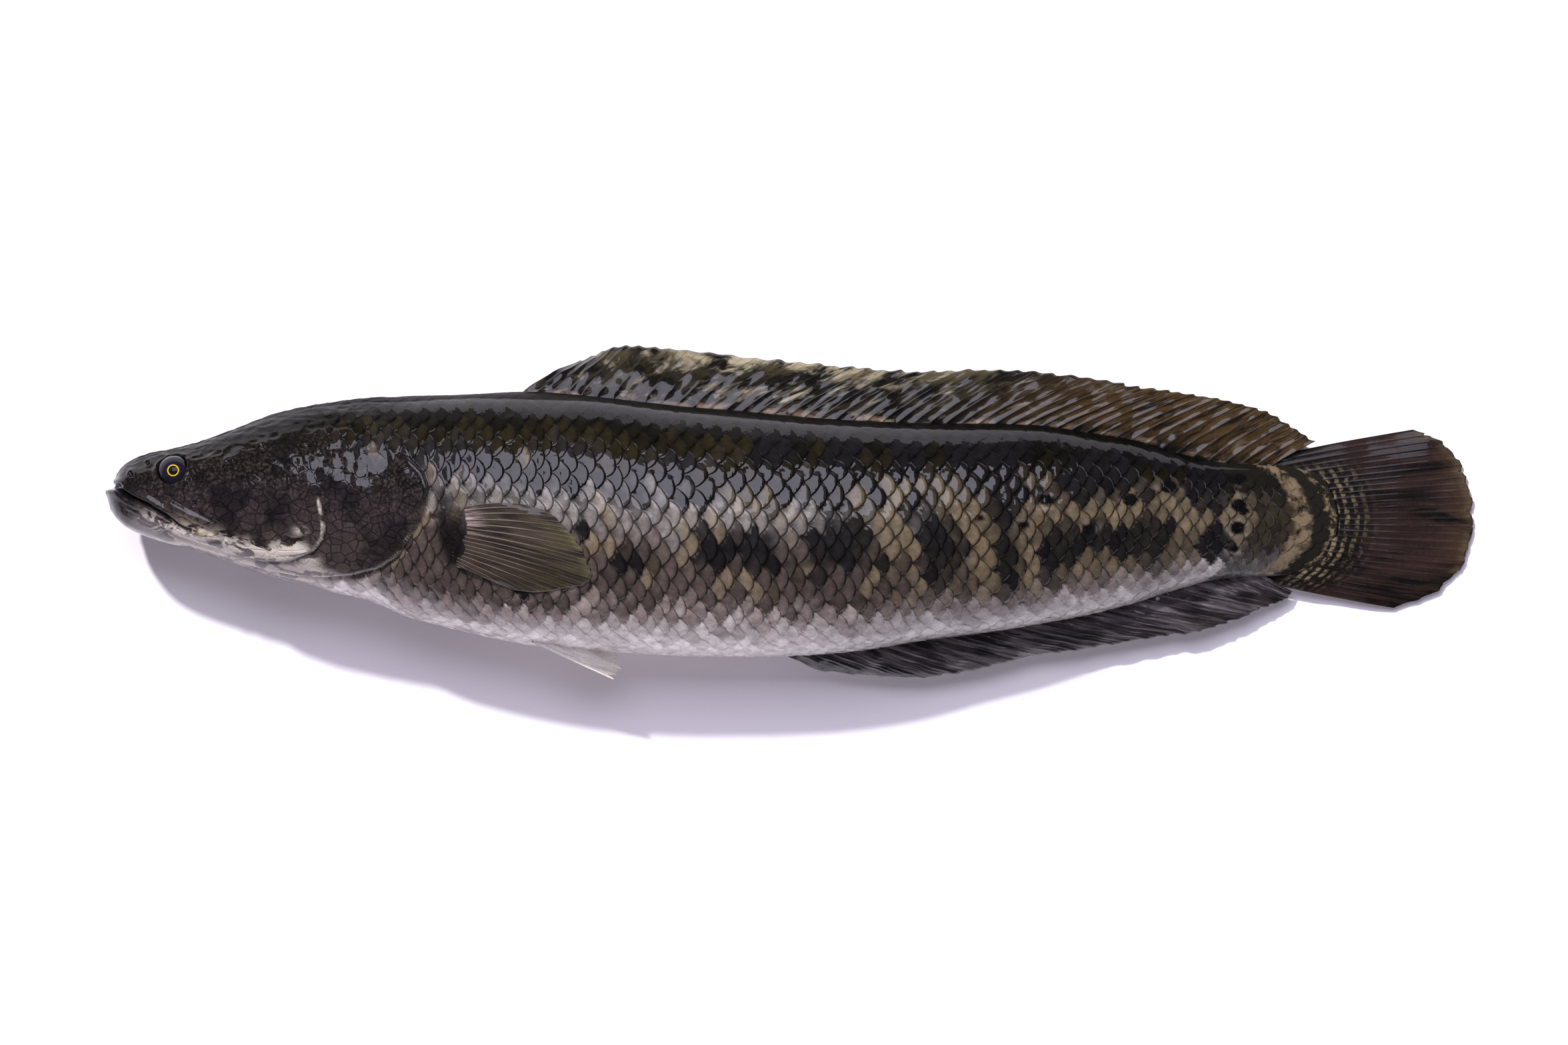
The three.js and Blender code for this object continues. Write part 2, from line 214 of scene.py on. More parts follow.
def flankHeight(x, y, side):
    # height of the upper (side 1) or lower (side -1) flank over a place on the body
    back, belly, upper, axis, lower, sag = measures(x)
    across = np.clip((y - (back + belly) / 2) / ((back - belly) / 2), -1, 1)
    sag = np.where(across < 0, sag, 0)
    power = trunk["sectionPower"]
    rise = (1 - np.abs(across) ** power) ** (1 / power)
    return axis - sag + side * (upper + sag if side > 0 else lower - sag) * rise


headLines = {
    "mouth": [(-3, 12.9), (3.2, 12.9), (8.3, 9.2), (14.6, 6.4), (21.1, 2.6), (26.5, -1.3), (31.8, -3.8)],
    "upperJaw": [(23, 6.5), (30, 2.6), (36.2, -0.6), (40.4, -3.0), (41.0, -4.6), (37, -4.9), (32, -4.0)],
    "chinFold": [(4.5, 5.2), (9, 2.6), (16, -0.4), (24, -4.6), (33, -8.0), (44, -11.0)],
    "cheekRim": [(77.6, 9.6), (78.6, 4.4), (79.7, -1.5), (79.0, -6.1), (75.4, -10), (66.8, -12.9), (56.9, -13.2),
                 (47.2, -11.6), (41, -10.4)],
    "gillEdge": [(103, 27), (110, 23.5), (115.4, 18.5), (117.6, 12.6), (115.2, 2.7), (111.1, -4.4), (106, -12.2),
                 (98.9, -16.6), (89.4, -18.6), (80, -19.4), (68, -18.6), (56, -16.4), (46, -14.3)],
    "finFold": [(124.5, 8), (123.2, 2), (124.5, -6), (127, -14)],
}
# pores on the head: distance from the jaw, height over the axis, size
headPores = [(33.3, 6.6, 0.9), (30.6, 15.4, 0.6), (9.0, 17.4, 0.9), (15.5, 21.5, 0.7), (39.5, 2.8, 0.5),
             (45.5, 22.0, 0.7), (58, 27.5, 0.7), (70.5, 22.2, 0.6)]
# rows: distance from the jaw, height below which the jaw and throat turn pale
jawLimitRows = [(0, 5), (10, 3.4), (22, -0.4), (36, -3.6), (48, -7), (60, -8.4), (71, -8.2), (80, -14.5), (95, -17.5),
                (118, -18.5)]
# rows: distance from the jaw, scale length, spacing of the rows
pitchRows = [(0, 5.6, 4.6), (120, 5.9, 4.9), (180, 6.4, 5.0), (240, 6.7, 5.0), (320, 6.5, 4.6), (380, 6.0, 4.2),
             (442, 4.4, 3.4)]
# how far a scale reaches past its middle, in scale lengths, and how far up and down, in rows
scaleReach, scaleHalf = 0.8, 1.04
# dark patches: distance from the jaw, height over the axis, half length, half height
darkPatches = [
    (218, -8.5, 9.2, 7.8), (172.6, -2, 3.2, 5), (188, -13, 6.8, 5.8), (236.5, -10, 4.9, 8.5), (256, -11, 4.4, 10),
    (270, -6.8, 10, 10), (280, -13.4, 3.9, 7.3), (288.5, 0, 3, 4.4), (301.5, -9.2, 6.6, 12.2),
    (325.5, -12.4, 6.2, 13.6), (346.6, -8, 9.2, 9.2), (359.5, -4.6, 7.3, 7.3), (377, -8, 12, 10), (402, -8, 6.3, 5.8),
    (240, 26, 7.3, 6),
    (265, 25, 7.3, 7), (291, 24, 8.8, 9), (320, 17, 14, 14), (357, 16, 16, 11.5), (399.6, 12.5, 8.3, 10),
    (378, 10.5, 3.6, 3.6), (384, 22.8, 7.3, 4.9), (150, -22, 4, 4), (205, 8, 3, 3), (248, 12, 3, 4),
]
# black spots with pale rims: distance from the jaw, height over the axis, radius
blackSpots = [(342.2, 8.3, 2.2), (357.3, -2.4, 1.9), (373.1, 8.3, 2.2), (387.2, 13.1, 2.4), (414, 16.2, 1.9),
              (413.4, 6.4, 2.3), (415.2, 4.2, 1.6), (413.0, -2.0, 2.2), (412, -9.5, 1.2), (334, -1, 1.5),
              (318, 1.5, 1.4)]


def scaleLattice(a, b):
    # a counts scale lengths towards the tail, b counts rows up the flank; odd rows are shifted half a scale.
    # the scale on top at a point is the one nearest the head that still covers it
    found = []
    for parity in (0, 1):
        row = 2 * np.round((b - parity) / 2) + parity
        d = b - row
        edge = scaleReach * np.sqrt(np.maximum(1 - (d / scaleHalf) ** 2, 0))
        centre = np.ceil(a - 0.5 * parity - edge) + 0.5 * parity + 50 * (np.abs(d) > scaleHalf)
        found.append((centre, row, d, centre + edge - a))
    top = found[0][0] < found[1][0]
    return [np.where(top, p, q) for p, q in zip(*found)]


def flankPattern(x, y, girth, chance, clump):
    # darkness and tan of each scale, taken at its middle: 1 inside a patch, fading at a ragged edge
    dark = np.zeros_like(x)
    for px, py, halfLong, halfHigh in darkPatches:
        away = np.hypot((x - px) / halfLong, (y - py) / halfHigh)
        dark = np.maximum(dark, 1 - ease(0.8, 1.3, away + 0.9 * (clump - 0.5) + 0.35 * (chance - 0.5)))
    loner = ease(0.86, 0.93, chance) * ease(0.2, 0.3, girth) * (1 - ease(0.62, 0.72, girth)) * ease(130, 200, x)
    dark = np.maximum(dark, 0.75 * loner)
    rear = ease(235, 330, x)
    tanLow = 0.62 - 0.30 * rear
    tan = ease(tanLow, tanLow + 0.16, 0.55 * clump + 0.45 * chance + 0.1 * hump(y - 3, 9))
    tan = tan * (1 - 0.7 * rear * ease(8, 17, y))
    tan = np.maximum(tan, 1.2 * hump(x - 412, 5.5) * ease(-12, -4, y) * (1 - ease(12, 19, y)))
    tan = tan * ease(0.27, 0.35 - 0.03 * rear, girth) * (1 - ease(0.60 + 0.06 * rear, 0.72 + 0.06 * rear, girth))
    return dark, tan * (0.55 + 0.45 * rear)


def centreOfEye(node):
    # middle of a globe and its radius, a little behind and above the middle of its node
    low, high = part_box(node)
    middle = np.array((low + high) / 2) / mm - shift + np.array([0.9, 0.9, 0])
    return middle, (high.x - low.x) / 2 / mm


# how far each feature stands out of the skin or sinks into it, in mm
bodyRelief = {"flesh": 1.2, "skin": 0.5, "fineSkin": 0.2, "scale": 0.72, "mouth": 2.1, "lips": 0.8, "upperJaw": 0.9,
              "chinFold": 0.7, "cheek": 0.9, "gillCover": 1.3, "gillSlit": 0.7, "finRoot": 1.3, "finFold": 1.5,
              "socketRim": 0.35, "socket": 4.4, "pore": 1.3, "crown": 0.5}


def bodySkin():
    # rings of the cross-section down the length, closely set on the head and on the upper flank; every point then
    # moves along the surface's normal by the sum of the features' relief at that place
    relief = bodyRelief
    stops = [np.linspace(0, 1.5, 8, endpoint=False), np.linspace(1.5, 44, 100, endpoint=False),
             np.linspace(44, 122, 122, endpoint=False), np.linspace(122, trunk["length"], 320)]
    xs = np.concatenate(stops)
    upperCount, lowerCount = 126, 52
    up = np.linspace(0, np.pi, upperCount, endpoint=False)
    down = np.linspace(np.pi, 2 * np.pi, lowerCount, endpoint=False)
    angles = np.concatenate([up, down])
    x, angle = np.meshgrid(xs, angles, indexing="ij")
    base = sectionAt(x, angle)
    normal = surfaceNormals(base, closedAcross=True)
    outward = np.stack([np.zeros_like(x), np.cos(angle), np.sin(angle)], axis=-1)
    normal *= np.where((normal * outward).sum(-1).mean() > 0, 1, -1)
    y = base[..., 1]
    upper = angle < np.pi

    # length along each ring, counted from the middle of the flank
    stepAround = np.linalg.norm(np.diff(np.concatenate([base, base[:, :1]], axis=1), axis=1), axis=-1)
    around = np.concatenate([np.zeros((len(xs), 1)), np.cumsum(stepAround, axis=1)], axis=1)
    place, ridge = around[:, :-1], around[:, -1:]
    topMiddle, toBelly, lowMiddle = [
        around[:, k:k + 1] for k in (upperCount // 2, upperCount, upperCount + lowerCount // 2)]
    fromMiddle = np.where(upper, topMiddle - place, place - lowMiddle)
    girth = np.where(upper, place / toBelly, (ridge - place) / (ridge - toBelly))
    pitch, spacing = np.moveaxis(throughRows(pitchRows, xs), -1, 0)
    a = np.concatenate([[0], np.cumsum(np.diff(xs) / ((pitch[1:] + pitch[:-1]) / 2))])[:, None] + np.zeros_like(x)
    wave = 0.35 * np.sin(x / 38.0) + 0.25 * np.sin(x / 17.0 + 1.1)
    b = fromMiddle / spacing[:, None] + wave + 0.02 * fromMiddle * ease(300, 430, x)
    a = a + 0.5 * (softNoise(base, 15, 41) - 0.5) + 0.24 * (softNoise(base, 6, 42) - 0.5)
    b = b + 0.5 * (softNoise(base, 17, 43) - 0.5) + 0.22 * (softNoise(base, 6.5, 44) - 0.5)
    rowShare = spacing[:, None] / toBelly

    # where the head's plates give way to scales: behind the gill cover, and from the nape on the back
    headX = x - 0.9
    gillDistance, _, gillSide = fromLine(headX, y, headLines["gillEdge"] + [(30, -20)])
    beyondGill = np.where(gillSide > 0, gillDistance, -gillDistance)
    napeStart = ease(24, 36, y) * 44
    scaly = ease(-0.6, 1.4, beyondGill) * ease(60, 66, x + 0.7 * np.minimum(y, 10))
    scaly = np.maximum(scaly, ease(20, 32, y) * ease(78, 100, x + 0.3 * napeStart))

    lift = np.zeros_like(x)
    fleshWave = softNoise(base, 26, 3) - 0.5
    skinWave = softNoise(base, 7.5, 4) - 0.5
    fineWave = softNoise(base, 3.1, 5) - 0.5
    lift += relief["flesh"] * fleshWave * ease(20, 60, x) * (1 - ease(400, 430, x))
    lift += (relief["skin"] * skinWave + relief["fineSkin"] * fineWave) * (1 - 0.7 * ease(100, 130, x))

    # scales: raised at the free edge, each a little domed
    centre, row, d, t = scaleLattice(a, b)
    oneScale = ease(0, 0.16, t) * (1.0 - 0.95 * np.clip(t, 0, 1)) + 0.16 * (1 - d ** 2)
    bold = (0.22 + 0.78 * ease(0.13, 0.27, girth)) * (1 - 0.45 * ease(0.7, 0.9, girth))
    bold = bold * (1 - 0.35 * ease(405, 430, x)) * (1 - ease(437, 441.5, x))
    lift += relief["scale"] * oneScale * bold * scaly * (1 - 0.3 * ease(330, 400, x))
    middleX = x + (centre - a) * pitch[:, None]
    rise = np.gradient(base[..., 1], axis=1) / np.maximum(np.linalg.norm(np.gradient(base, axis=1), axis=-1), 1e-6)
    middleY = y + (row - b) * spacing[:, None] * np.abs(rise)
    middleGirth = girth + (b - row) * rowShare
    chance = softNoise(np.stack([np.round(2 * centre), row, 9.0 * upper], -1), 1.0, 51)
    clump = softNoise(np.stack([middleX / 11, middleGirth * 13, 9.0 * upper], -1), 1.0, 52)
    dark, tan = flankPattern(middleX, middleY, middleGirth, chance, clump)
    rimBreak = softNoise(base, 2.6, 61)
    spot = np.zeros_like(x)
    spotRim = np.zeros_like(x)
    for sx, sy, radius in blackSpots:
        away = np.hypot((x - sx) / 1.25, y - sy)
        spot = np.maximum(spot, 1 - ease(radius * 0.9, radius * 1.15, away + 0.5 * skinWave))
        oneRim = hump(away - radius * 1.5, radius * 0.4) * ease(0.5, 0.8, rimBreak)
        spotRim = np.maximum(spotRim, oneRim * ease(15, 12, y))

    # mouth, lips, jaw bones
    mouth, alongMouth, overMouth = fromLine(headX, y, headLines["mouth"])
    openMouth = 1 - ease(0.93, 1.0, alongMouth)
    lift -= relief["mouth"] * hump(mouth, 0.75) * openMouth
    lift += relief["lips"] * hump(mouth - 1.9, 1.2) * openMouth * np.where(overMouth > 0, 1.0, 0.7)
    jaw, alongJaw, outsideJaw = fromLine(headX, y, headLines["upperJaw"])
    lift += relief["upperJaw"] * hump(jaw, 1.3) - 0.5 * hump(jaw - 2.2, 0.7)
    chin, alongChin, _ = fromLine(headX, y, headLines["chinFold"])
    lift -= relief["chinFold"] * hump(chin, 0.8) * ease(0, 0.1, alongChin) * (1 - ease(0.8, 1, alongChin))
    # gill cover and cheek: raised inside their rims
    rim, alongRim, rimSide = fromLine(headX, y, headLines["cheekRim"])
    inside = np.where(rimSide < 0, rim, -rim)
    ends = ease(0.0, 0.12, alongRim) * (1 - ease(0.85, 1.0, alongRim))
    lift += relief["cheek"] * ease(-0.5, 0.5, inside) * hump(np.maximum(inside, 0), 8) * ends
    lift += 0.22 * hump(inside - 0.6, 0.5) * ends - 0.45 * hump(inside + 0.6, 0.6) * ends
    alongGill = fromLine(headX, y, headLines["gillEdge"])[1]
    gillEnds = ease(0, 0.1, alongGill) * (1 - ease(0.8, 1.0, alongGill))
    lift += relief["gillCover"] * ease(0.6, -0.5, beyondGill) * hump(np.minimum(beyondGill, 0), 13) * gillEnds
    lift += 0.15 * hump(beyondGill + 0.9, 0.6) * gillEnds
    lift -= relief["gillSlit"] * hump(beyondGill - 0.8, 0.8) * gillEnds

    # fleshy root of the pectoral fin, with a dark fold in front of it
    rootFold = fromLine(x, y, headLines["finFold"])[0]
    lift -= relief["finRoot"] * hump(np.hypot(x - 129, (y + 5) / 2.0), 5) + relief["finFold"] * hump(rootFold, 2.6)
    scaly = scaly * (1 - hump(np.hypot((x - 128) / 1.1, (y + 3) / 2.0), 6.0))

    # cream marbling follows the lower jaw to the corner of the cheek; under it the throat is pale grey
    underJaw = throughRows(jawLimitRows, headX)[..., 0] - y
    chinPale = hump(underJaw - 1.2, 2.8) * ease(9, 17, x) * (1 - ease(74, 82, x))
    chinPale = np.maximum(chinPale, 0.75 * ease(1, 4, underJaw) * ease(14, 26, x) * (1 - ease(96, 112, x)))
    chinPale = np.maximum(chinPale, 0.6 * hump(np.hypot((x - 72) / 1.6, y + 3.0), 1.7))
    chinPale = np.maximum(chinPale, 0.8 * hump(np.hypot((x - 68) / 2.0, y + 9), 2.2))
    jawGrey = ease(0, 2.5, underJaw) * ease(4, 16, x) * (1 - ease(96, 116, x))

    # eye sockets, by distance from the middle of each globe, and pores
    toEyes = [np.linalg.norm(base - centreOfEye(node)[0], axis=-1) for node in ("left_eye", "right_eye")]
    eyeAway = np.minimum(*toEyes)
    lift += relief["socketRim"] * hump(eyeAway - 7.3, 0.7)
    lift -= relief["socket"] * ease(6.9, 5.9, eyeAway)
    for px, py, size in headPores:
        away = np.hypot(x - px, y - py)
        lift += 0.35 * hump(away - 1.6 * size, 0.6 * size) - relief["pore"] * hump(away, 0.8 * size)
    # wrinkled crown
    crown = ease(17, 24, y) * (1 - ease(92, 112, x))
    lift += crown * relief["crown"] * (np.abs(softNoise(base * np.array([0.7, 1.6, 1.2]), 2.9, 9) - 0.5) * -2 + 0.5)

    shaped = base + normal * lift[..., None]
    # the upper lip starts behind the tip of the lower jaw
    aboveLip = ease(12.4, 13.4, y)
    shaped[..., 0] += 2.7 * aboveLip * np.exp(-x / 6.0)
    # the end of the body is a flat fan that arcs backwards and sinks into the middle of the tail fin
    bow = ((y - tailAxis["y"]) / 20) ** 2
    shaped[..., 0] += 9 * ease(426, 442, x) - 9 * bow * ease(418, 442, x)
    finHeight = tailAxis["rootZ"] - tailAxis["fall"] * np.clip((shaped[..., 0] - 434) / 61, 0, 1)
    shaped[..., 2] = finHeight + (shaped[..., 2] - finHeight) * (1 - 0.88 * ease(424, 442, x))
    tailArc = x + 9 * ease(426, 442, x) - 9 * bow * ease(418, 442, x) + 0.7 * (middleX - x) + 14 * bow
    shaped[..., 2] = np.where(upper, shaped[..., 2], np.maximum(shaped[..., 2], np.minimum(base[..., 2], 0.02)))
    shaped[..., 2] = np.maximum(shaped[..., 2], 0.0)

    count = len(angles)
    points = shaped.reshape(-1, 3)
    front = points[:count].mean(0) + np.array([-0.35, 0, 0])
    rear = points[-count:].mean(0) + np.array([0.4, 0, 0])
    points = np.vstack([points, front, rear])
    quads, poleFans = ringFaces(len(xs), count)
    if not facesOut(points, quads, normal.reshape(-1, 3)[quads[:, 0]]):
        quads, poleFans = quads[:, ::-1], poleFans[:, ::-1]

    def withPoles(value):
        # one value for each point, with the mean of its ring for either pole
        flat = value.reshape(-1)
        return np.concatenate([flat, [flat[:count].mean(), flat[-count:].mean()]])

    # pale rims of the cheek and the gill cover, and painted shade in the folds: beside the cheek rim, in the gill
    # slit, in the fold and pit in front of the pectoral fin and round the eye sockets
    cheekPale = hump(inside - 0.35, 0.42) * (1 - ease(0.3, 0.5, alongRim)) * ease(0, 0.05, alongRim)
    gillPale = 0.35 * hump(beyondGill + 0.35, 0.4) * ease(0.28, 0.4, alongGill) * (1 - ease(0.55, 0.7, alongGill))
    folds = 0.8 * hump(inside + 0.5, 0.5) * ends + 0.8 * hump(beyondGill - 0.6, 0.6) * gillEnds
    folds += 0.9 * hump(rootFold, 2.4) + 1.0 * hump(np.hypot((x - 130.2) / 1.1, (y + 8) / 1.9), 4.2)
    folds += 0.8 * hump(eyeAway - 6.5, 0.5)

    skinMap = np.stack([withPoles(a), withPoles(b)], -1)
    bodyValues = {
        "girth": withPoles(girth),
        "scaly": withPoles(scaly),
        "bold": withPoles(bold),
        "length": withPoles(x / trunk["length"]),
        "mouthShade": withPoles(hump(mouth, 0.9) * openMouth),
        "chinPale": withPoles(chinPale),
        "jawGrey": withPoles(jawGrey),
        "lipRust": withPoles(hump(jaw, 2.2) * ease(0.02, 0.3, alongJaw) * (outsideJaw < 0)),
        "rimPale": withPoles(np.maximum(cheekPale, gillPale)),
        "foldShade": withPoles(np.clip(folds, 0, 1)),
        "dark": withPoles(dark), "tan": withPoles(tan), "chance": withPoles(chance),
        "middleGirth": withPoles(middleGirth),
        "spot": withPoles(spot), "spotRim": withPoles(spotRim), "tailArc": withPoles(tailArc),
        "rootPinkHighlight": withPoles(hump(np.hypot(x - 120.0, y - 2.8), 2.8)),
    }
    return meshFrom("bodySkin", points, quads, poleFans, {"skinMap": skinMap}, bodyValues)


def paint(red, green, blue):
    # everyday colour numbers (0 to 255) to the light values Blender wants
    def light(v):
        v = v / 255
        return v / 12.92 if v <= 0.04045 else ((v + 0.055) / 1.055) ** 2.4
    return (light(red), light(green), light(blue), 1.0)


def plug(tree, socket, value):
    # a node's output is linked, anything else is set on the socket
    if hasattr(value, "is_output"):
        tree.links.new(value, socket)
    else:
        socket.default_value = value


def maths(tree, operation, *values):
    # one maths node on one or two values
    node = tree.nodes.new("ShaderNodeMath")
    node.operation = operation
    for socket, value in zip(node.inputs, values):
        plug(tree, socket, value)
    return node.outputs[0]


def times(tree, first, second):
    return maths(tree, "MULTIPLY", first, second)


def plus(tree, first, second):
    return maths(tree, "ADD", first, second)


def minus(tree, first, second):
    return maths(tree, "SUBTRACT", first, second)


def easeNode(tree, value, low, high):
    # the smooth step of ease: 0 at low, 1 at high, also when high is the smaller one
    node = tree.nodes.new("ShaderNodeMapRange")
    node.interpolation_type = "SMOOTHSTEP"
    plug(tree, node.inputs["Value"], value)
    plug(tree, node.inputs["From Min"], low)
    plug(tree, node.inputs["From Max"], high)
    return node.outputs[0]


def mixColour(tree, factor, low, high, mode="MIX"):
    # low where the factor is 0, high where it is 1
    node = tree.nodes.new("ShaderNodeMix")
    node.data_type = "RGBA"
    node.blend_type = mode
    node.clamp_factor = True
    plug(tree, node.inputs[0], factor)
    plug(tree, node.inputs[6], low)
    plug(tree, node.inputs[7], high)
    return node.outputs[2]


def shade(tree, colour, tone):
    # the colour times a grey tone
    return mixColour(tree, 1.0, colour, vectorOf(tree, tone, tone, tone), "MULTIPLY")


def mixNumber(tree, factor, low, high):
    # the same for a number
    node = tree.nodes.new("ShaderNodeMix")
    node.data_type = "FLOAT"
    plug(tree, node.inputs[0], factor)
    plug(tree, node.inputs[2], low)
    plug(tree, node.inputs[3], high)
    return node.outputs[0]


def rampOf(tree, value, stops):
    # colour bands; stops are (place, colour)
    node = tree.nodes.new("ShaderNodeValToRGB")
    while len(node.color_ramp.elements) < len(stops):
        node.color_ramp.elements.new(1.0)
    for element, (place, colour) in zip(node.color_ramp.elements, stops):
        element.position = place
        element.color = colour
    plug(tree, node.inputs[0], value)
    return node.outputs[0]


def noiseOf(tree, vector, scale, detail, roughness, distortion=0.0):
    # cloudy noise from 0 to 1, scale counts waves in one unit of the vector
    node = tree.nodes.new("ShaderNodeTexNoise")
    plug(tree, node.inputs["Vector"], vector)
    node.inputs["Scale"].default_value = scale
    node.inputs["Detail"].default_value = detail
    node.inputs["Roughness"].default_value = roughness
    node.inputs["Distortion"].default_value = distortion
    return node.outputs["Fac"]


def voronoiOf(tree, vector, scale, feature="DISTANCE_TO_EDGE", output="Distance"):
    # irregular plates: the distance to their joints, or with F1 and Color a tone for each plate
    node = tree.nodes.new("ShaderNodeTexVoronoi")
    node.feature = feature
    plug(tree, node.inputs["Vector"], vector)
    node.inputs["Scale"].default_value = scale
    return node.outputs[output]


def valueOf(tree, name):
    # a value that the mesh carries at its points
    node = tree.nodes.new("ShaderNodeAttribute")
    node.attribute_type = "GEOMETRY"
    node.attribute_name = name
    return node.outputs["Fac"]


def mapOf(tree, name):
    # the two numbers of one of the piece's own maps
    node = tree.nodes.new("ShaderNodeUVMap")
    node.uv_map = name
    split = tree.nodes.new("ShaderNodeSeparateXYZ")
    tree.links.new(node.outputs[0], split.inputs[0])
    return split.outputs[0], split.outputs[1]


def vectorOf(tree, x, y, z=0.0):
    # three numbers as one vector
    node = tree.nodes.new("ShaderNodeCombineXYZ")
    for socket, value in zip(node.inputs, (x, y, z)):
        plug(tree, socket, value)
    return node.outputs[0]


def objectPlace(tree, stretch=(1, 1, 1)):
    # place in the piece in metres, stretched along each axis
    node = tree.nodes.new("ShaderNodeTexCoord")
    scaled = tree.nodes.new("ShaderNodeVectorMath")
    scaled.operation = "MULTIPLY"
    tree.links.new(node.outputs["Object"], scaled.inputs[0])
    scaled.inputs[1].default_value = stretch
    return scaled.outputs[0]


def bumpOf(tree, height, distance, strength, after=None):
    # surface normal tilted by a height, distance is how far a height of 1 stands out
    node = tree.nodes.new("ShaderNodeBump")
    node.inputs["Strength"].default_value = strength
    node.inputs["Distance"].default_value = distance
    plug(tree, node.inputs["Height"], height)
    if after is not None:
        tree.links.new(after, node.inputs["Normal"])
    return node.outputs[0]


def wetMaterial(name, roughness, coat, coatRoughness):
    # returns the material, its tree and the main shader node
    material = bpy.data.materials.new(name)
    material.use_nodes = True
    tree = material.node_tree
    tree.nodes.clear()
    out = tree.nodes.new("ShaderNodeOutputMaterial")
    shader = tree.nodes.new("ShaderNodeBsdfPrincipled")
    tree.links.new(shader.outputs[0], out.inputs[0])
    shader.inputs["Roughness"].default_value = roughness
    shader.inputs["IOR"].default_value = 1.4
    shader.inputs["Specular IOR Level"].default_value = 0.15
    shader.inputs["Coat Weight"].default_value = coat
    shader.inputs["Coat Roughness"].default_value = coatRoughness
    shader.inputs["Coat IOR"].default_value = 1.37
    return material, tree, shader


def insideEdge(tree, a, b):
    # how far a point lies inside its scale's free edge, in scale lengths, on the same lattice as the skin's shape
    found = []
    for parity in (0, 1):
        shifted = times(tree, minus(tree, b, float(parity)), 0.5)
        row = plus(tree, times(tree, maths(tree, "ROUND", shifted), 2.0), float(parity))
        flat = maths(tree, "DIVIDE", minus(tree, b, row), scaleHalf)
        left = maths(tree, "MAXIMUM", minus(tree, 1.0, times(tree, flat, flat)), 0.0)
        edge = times(tree, maths(tree, "SQRT", left), scaleReach)
        start = minus(tree, minus(tree, a, 0.5 * parity), edge)
        outside = times(tree, maths(tree, "GREATER_THAN", maths(tree, "ABSOLUTE", flat), 1.0), 50.0)
        centre = plus(tree, plus(tree, maths(tree, "CEIL", start), 0.5 * parity), outside)
        found.append((centre, minus(tree, plus(tree, centre, edge), a)))
    (evenCentre, evenInside), (oddCentre, oddInside) = found
    evenOnTop = maths(tree, "LESS_THAN", evenCentre, oddCentre)
    return mixNumber(tree, evenOnTop, oddInside, evenInside)


# the near-black is the colour of the spots and the plate joints, and also of painted shade in the folds, the mouth
# slit and at the edges of the scales
skinPaints = {
    "back": paint(15, 13, 8), "olive": paint(32, 27, 14), "slate": paint(31, 29, 30), "tan": paint(120, 106, 86),
    "grey": paint(112, 106, 103), "blotch": paint(17, 16, 18), "brown": paint(76, 66, 62),
    "pinkGrey": paint(140, 126, 122), "lowBelly": paint(186, 177, 174), "belly": paint(218, 212, 209),
    "cheek": paint(52, 44, 46), "cheekDark": paint(20, 17, 19), "cream": paint(205, 194, 184),
    "rust": paint(104, 90, 66), "inkAndShade": paint(9, 8, 9), "orange": paint(128, 106, 76), "tailPatch": paint(27, 25, 21),
    "bandTan": paint(122, 106, 84), "rootDark": paint(30, 28, 23), "jawGrey": paint(120, 112, 116),
}


skinLook = {"roughness": 0.45, "slimeRoughness": 0.035, "specular": 0.06, "platesPerMetre": 235.0,
            "reliefBump": 0.0006, "grainBump": 0.00012, "slimeBump": 0.00032}


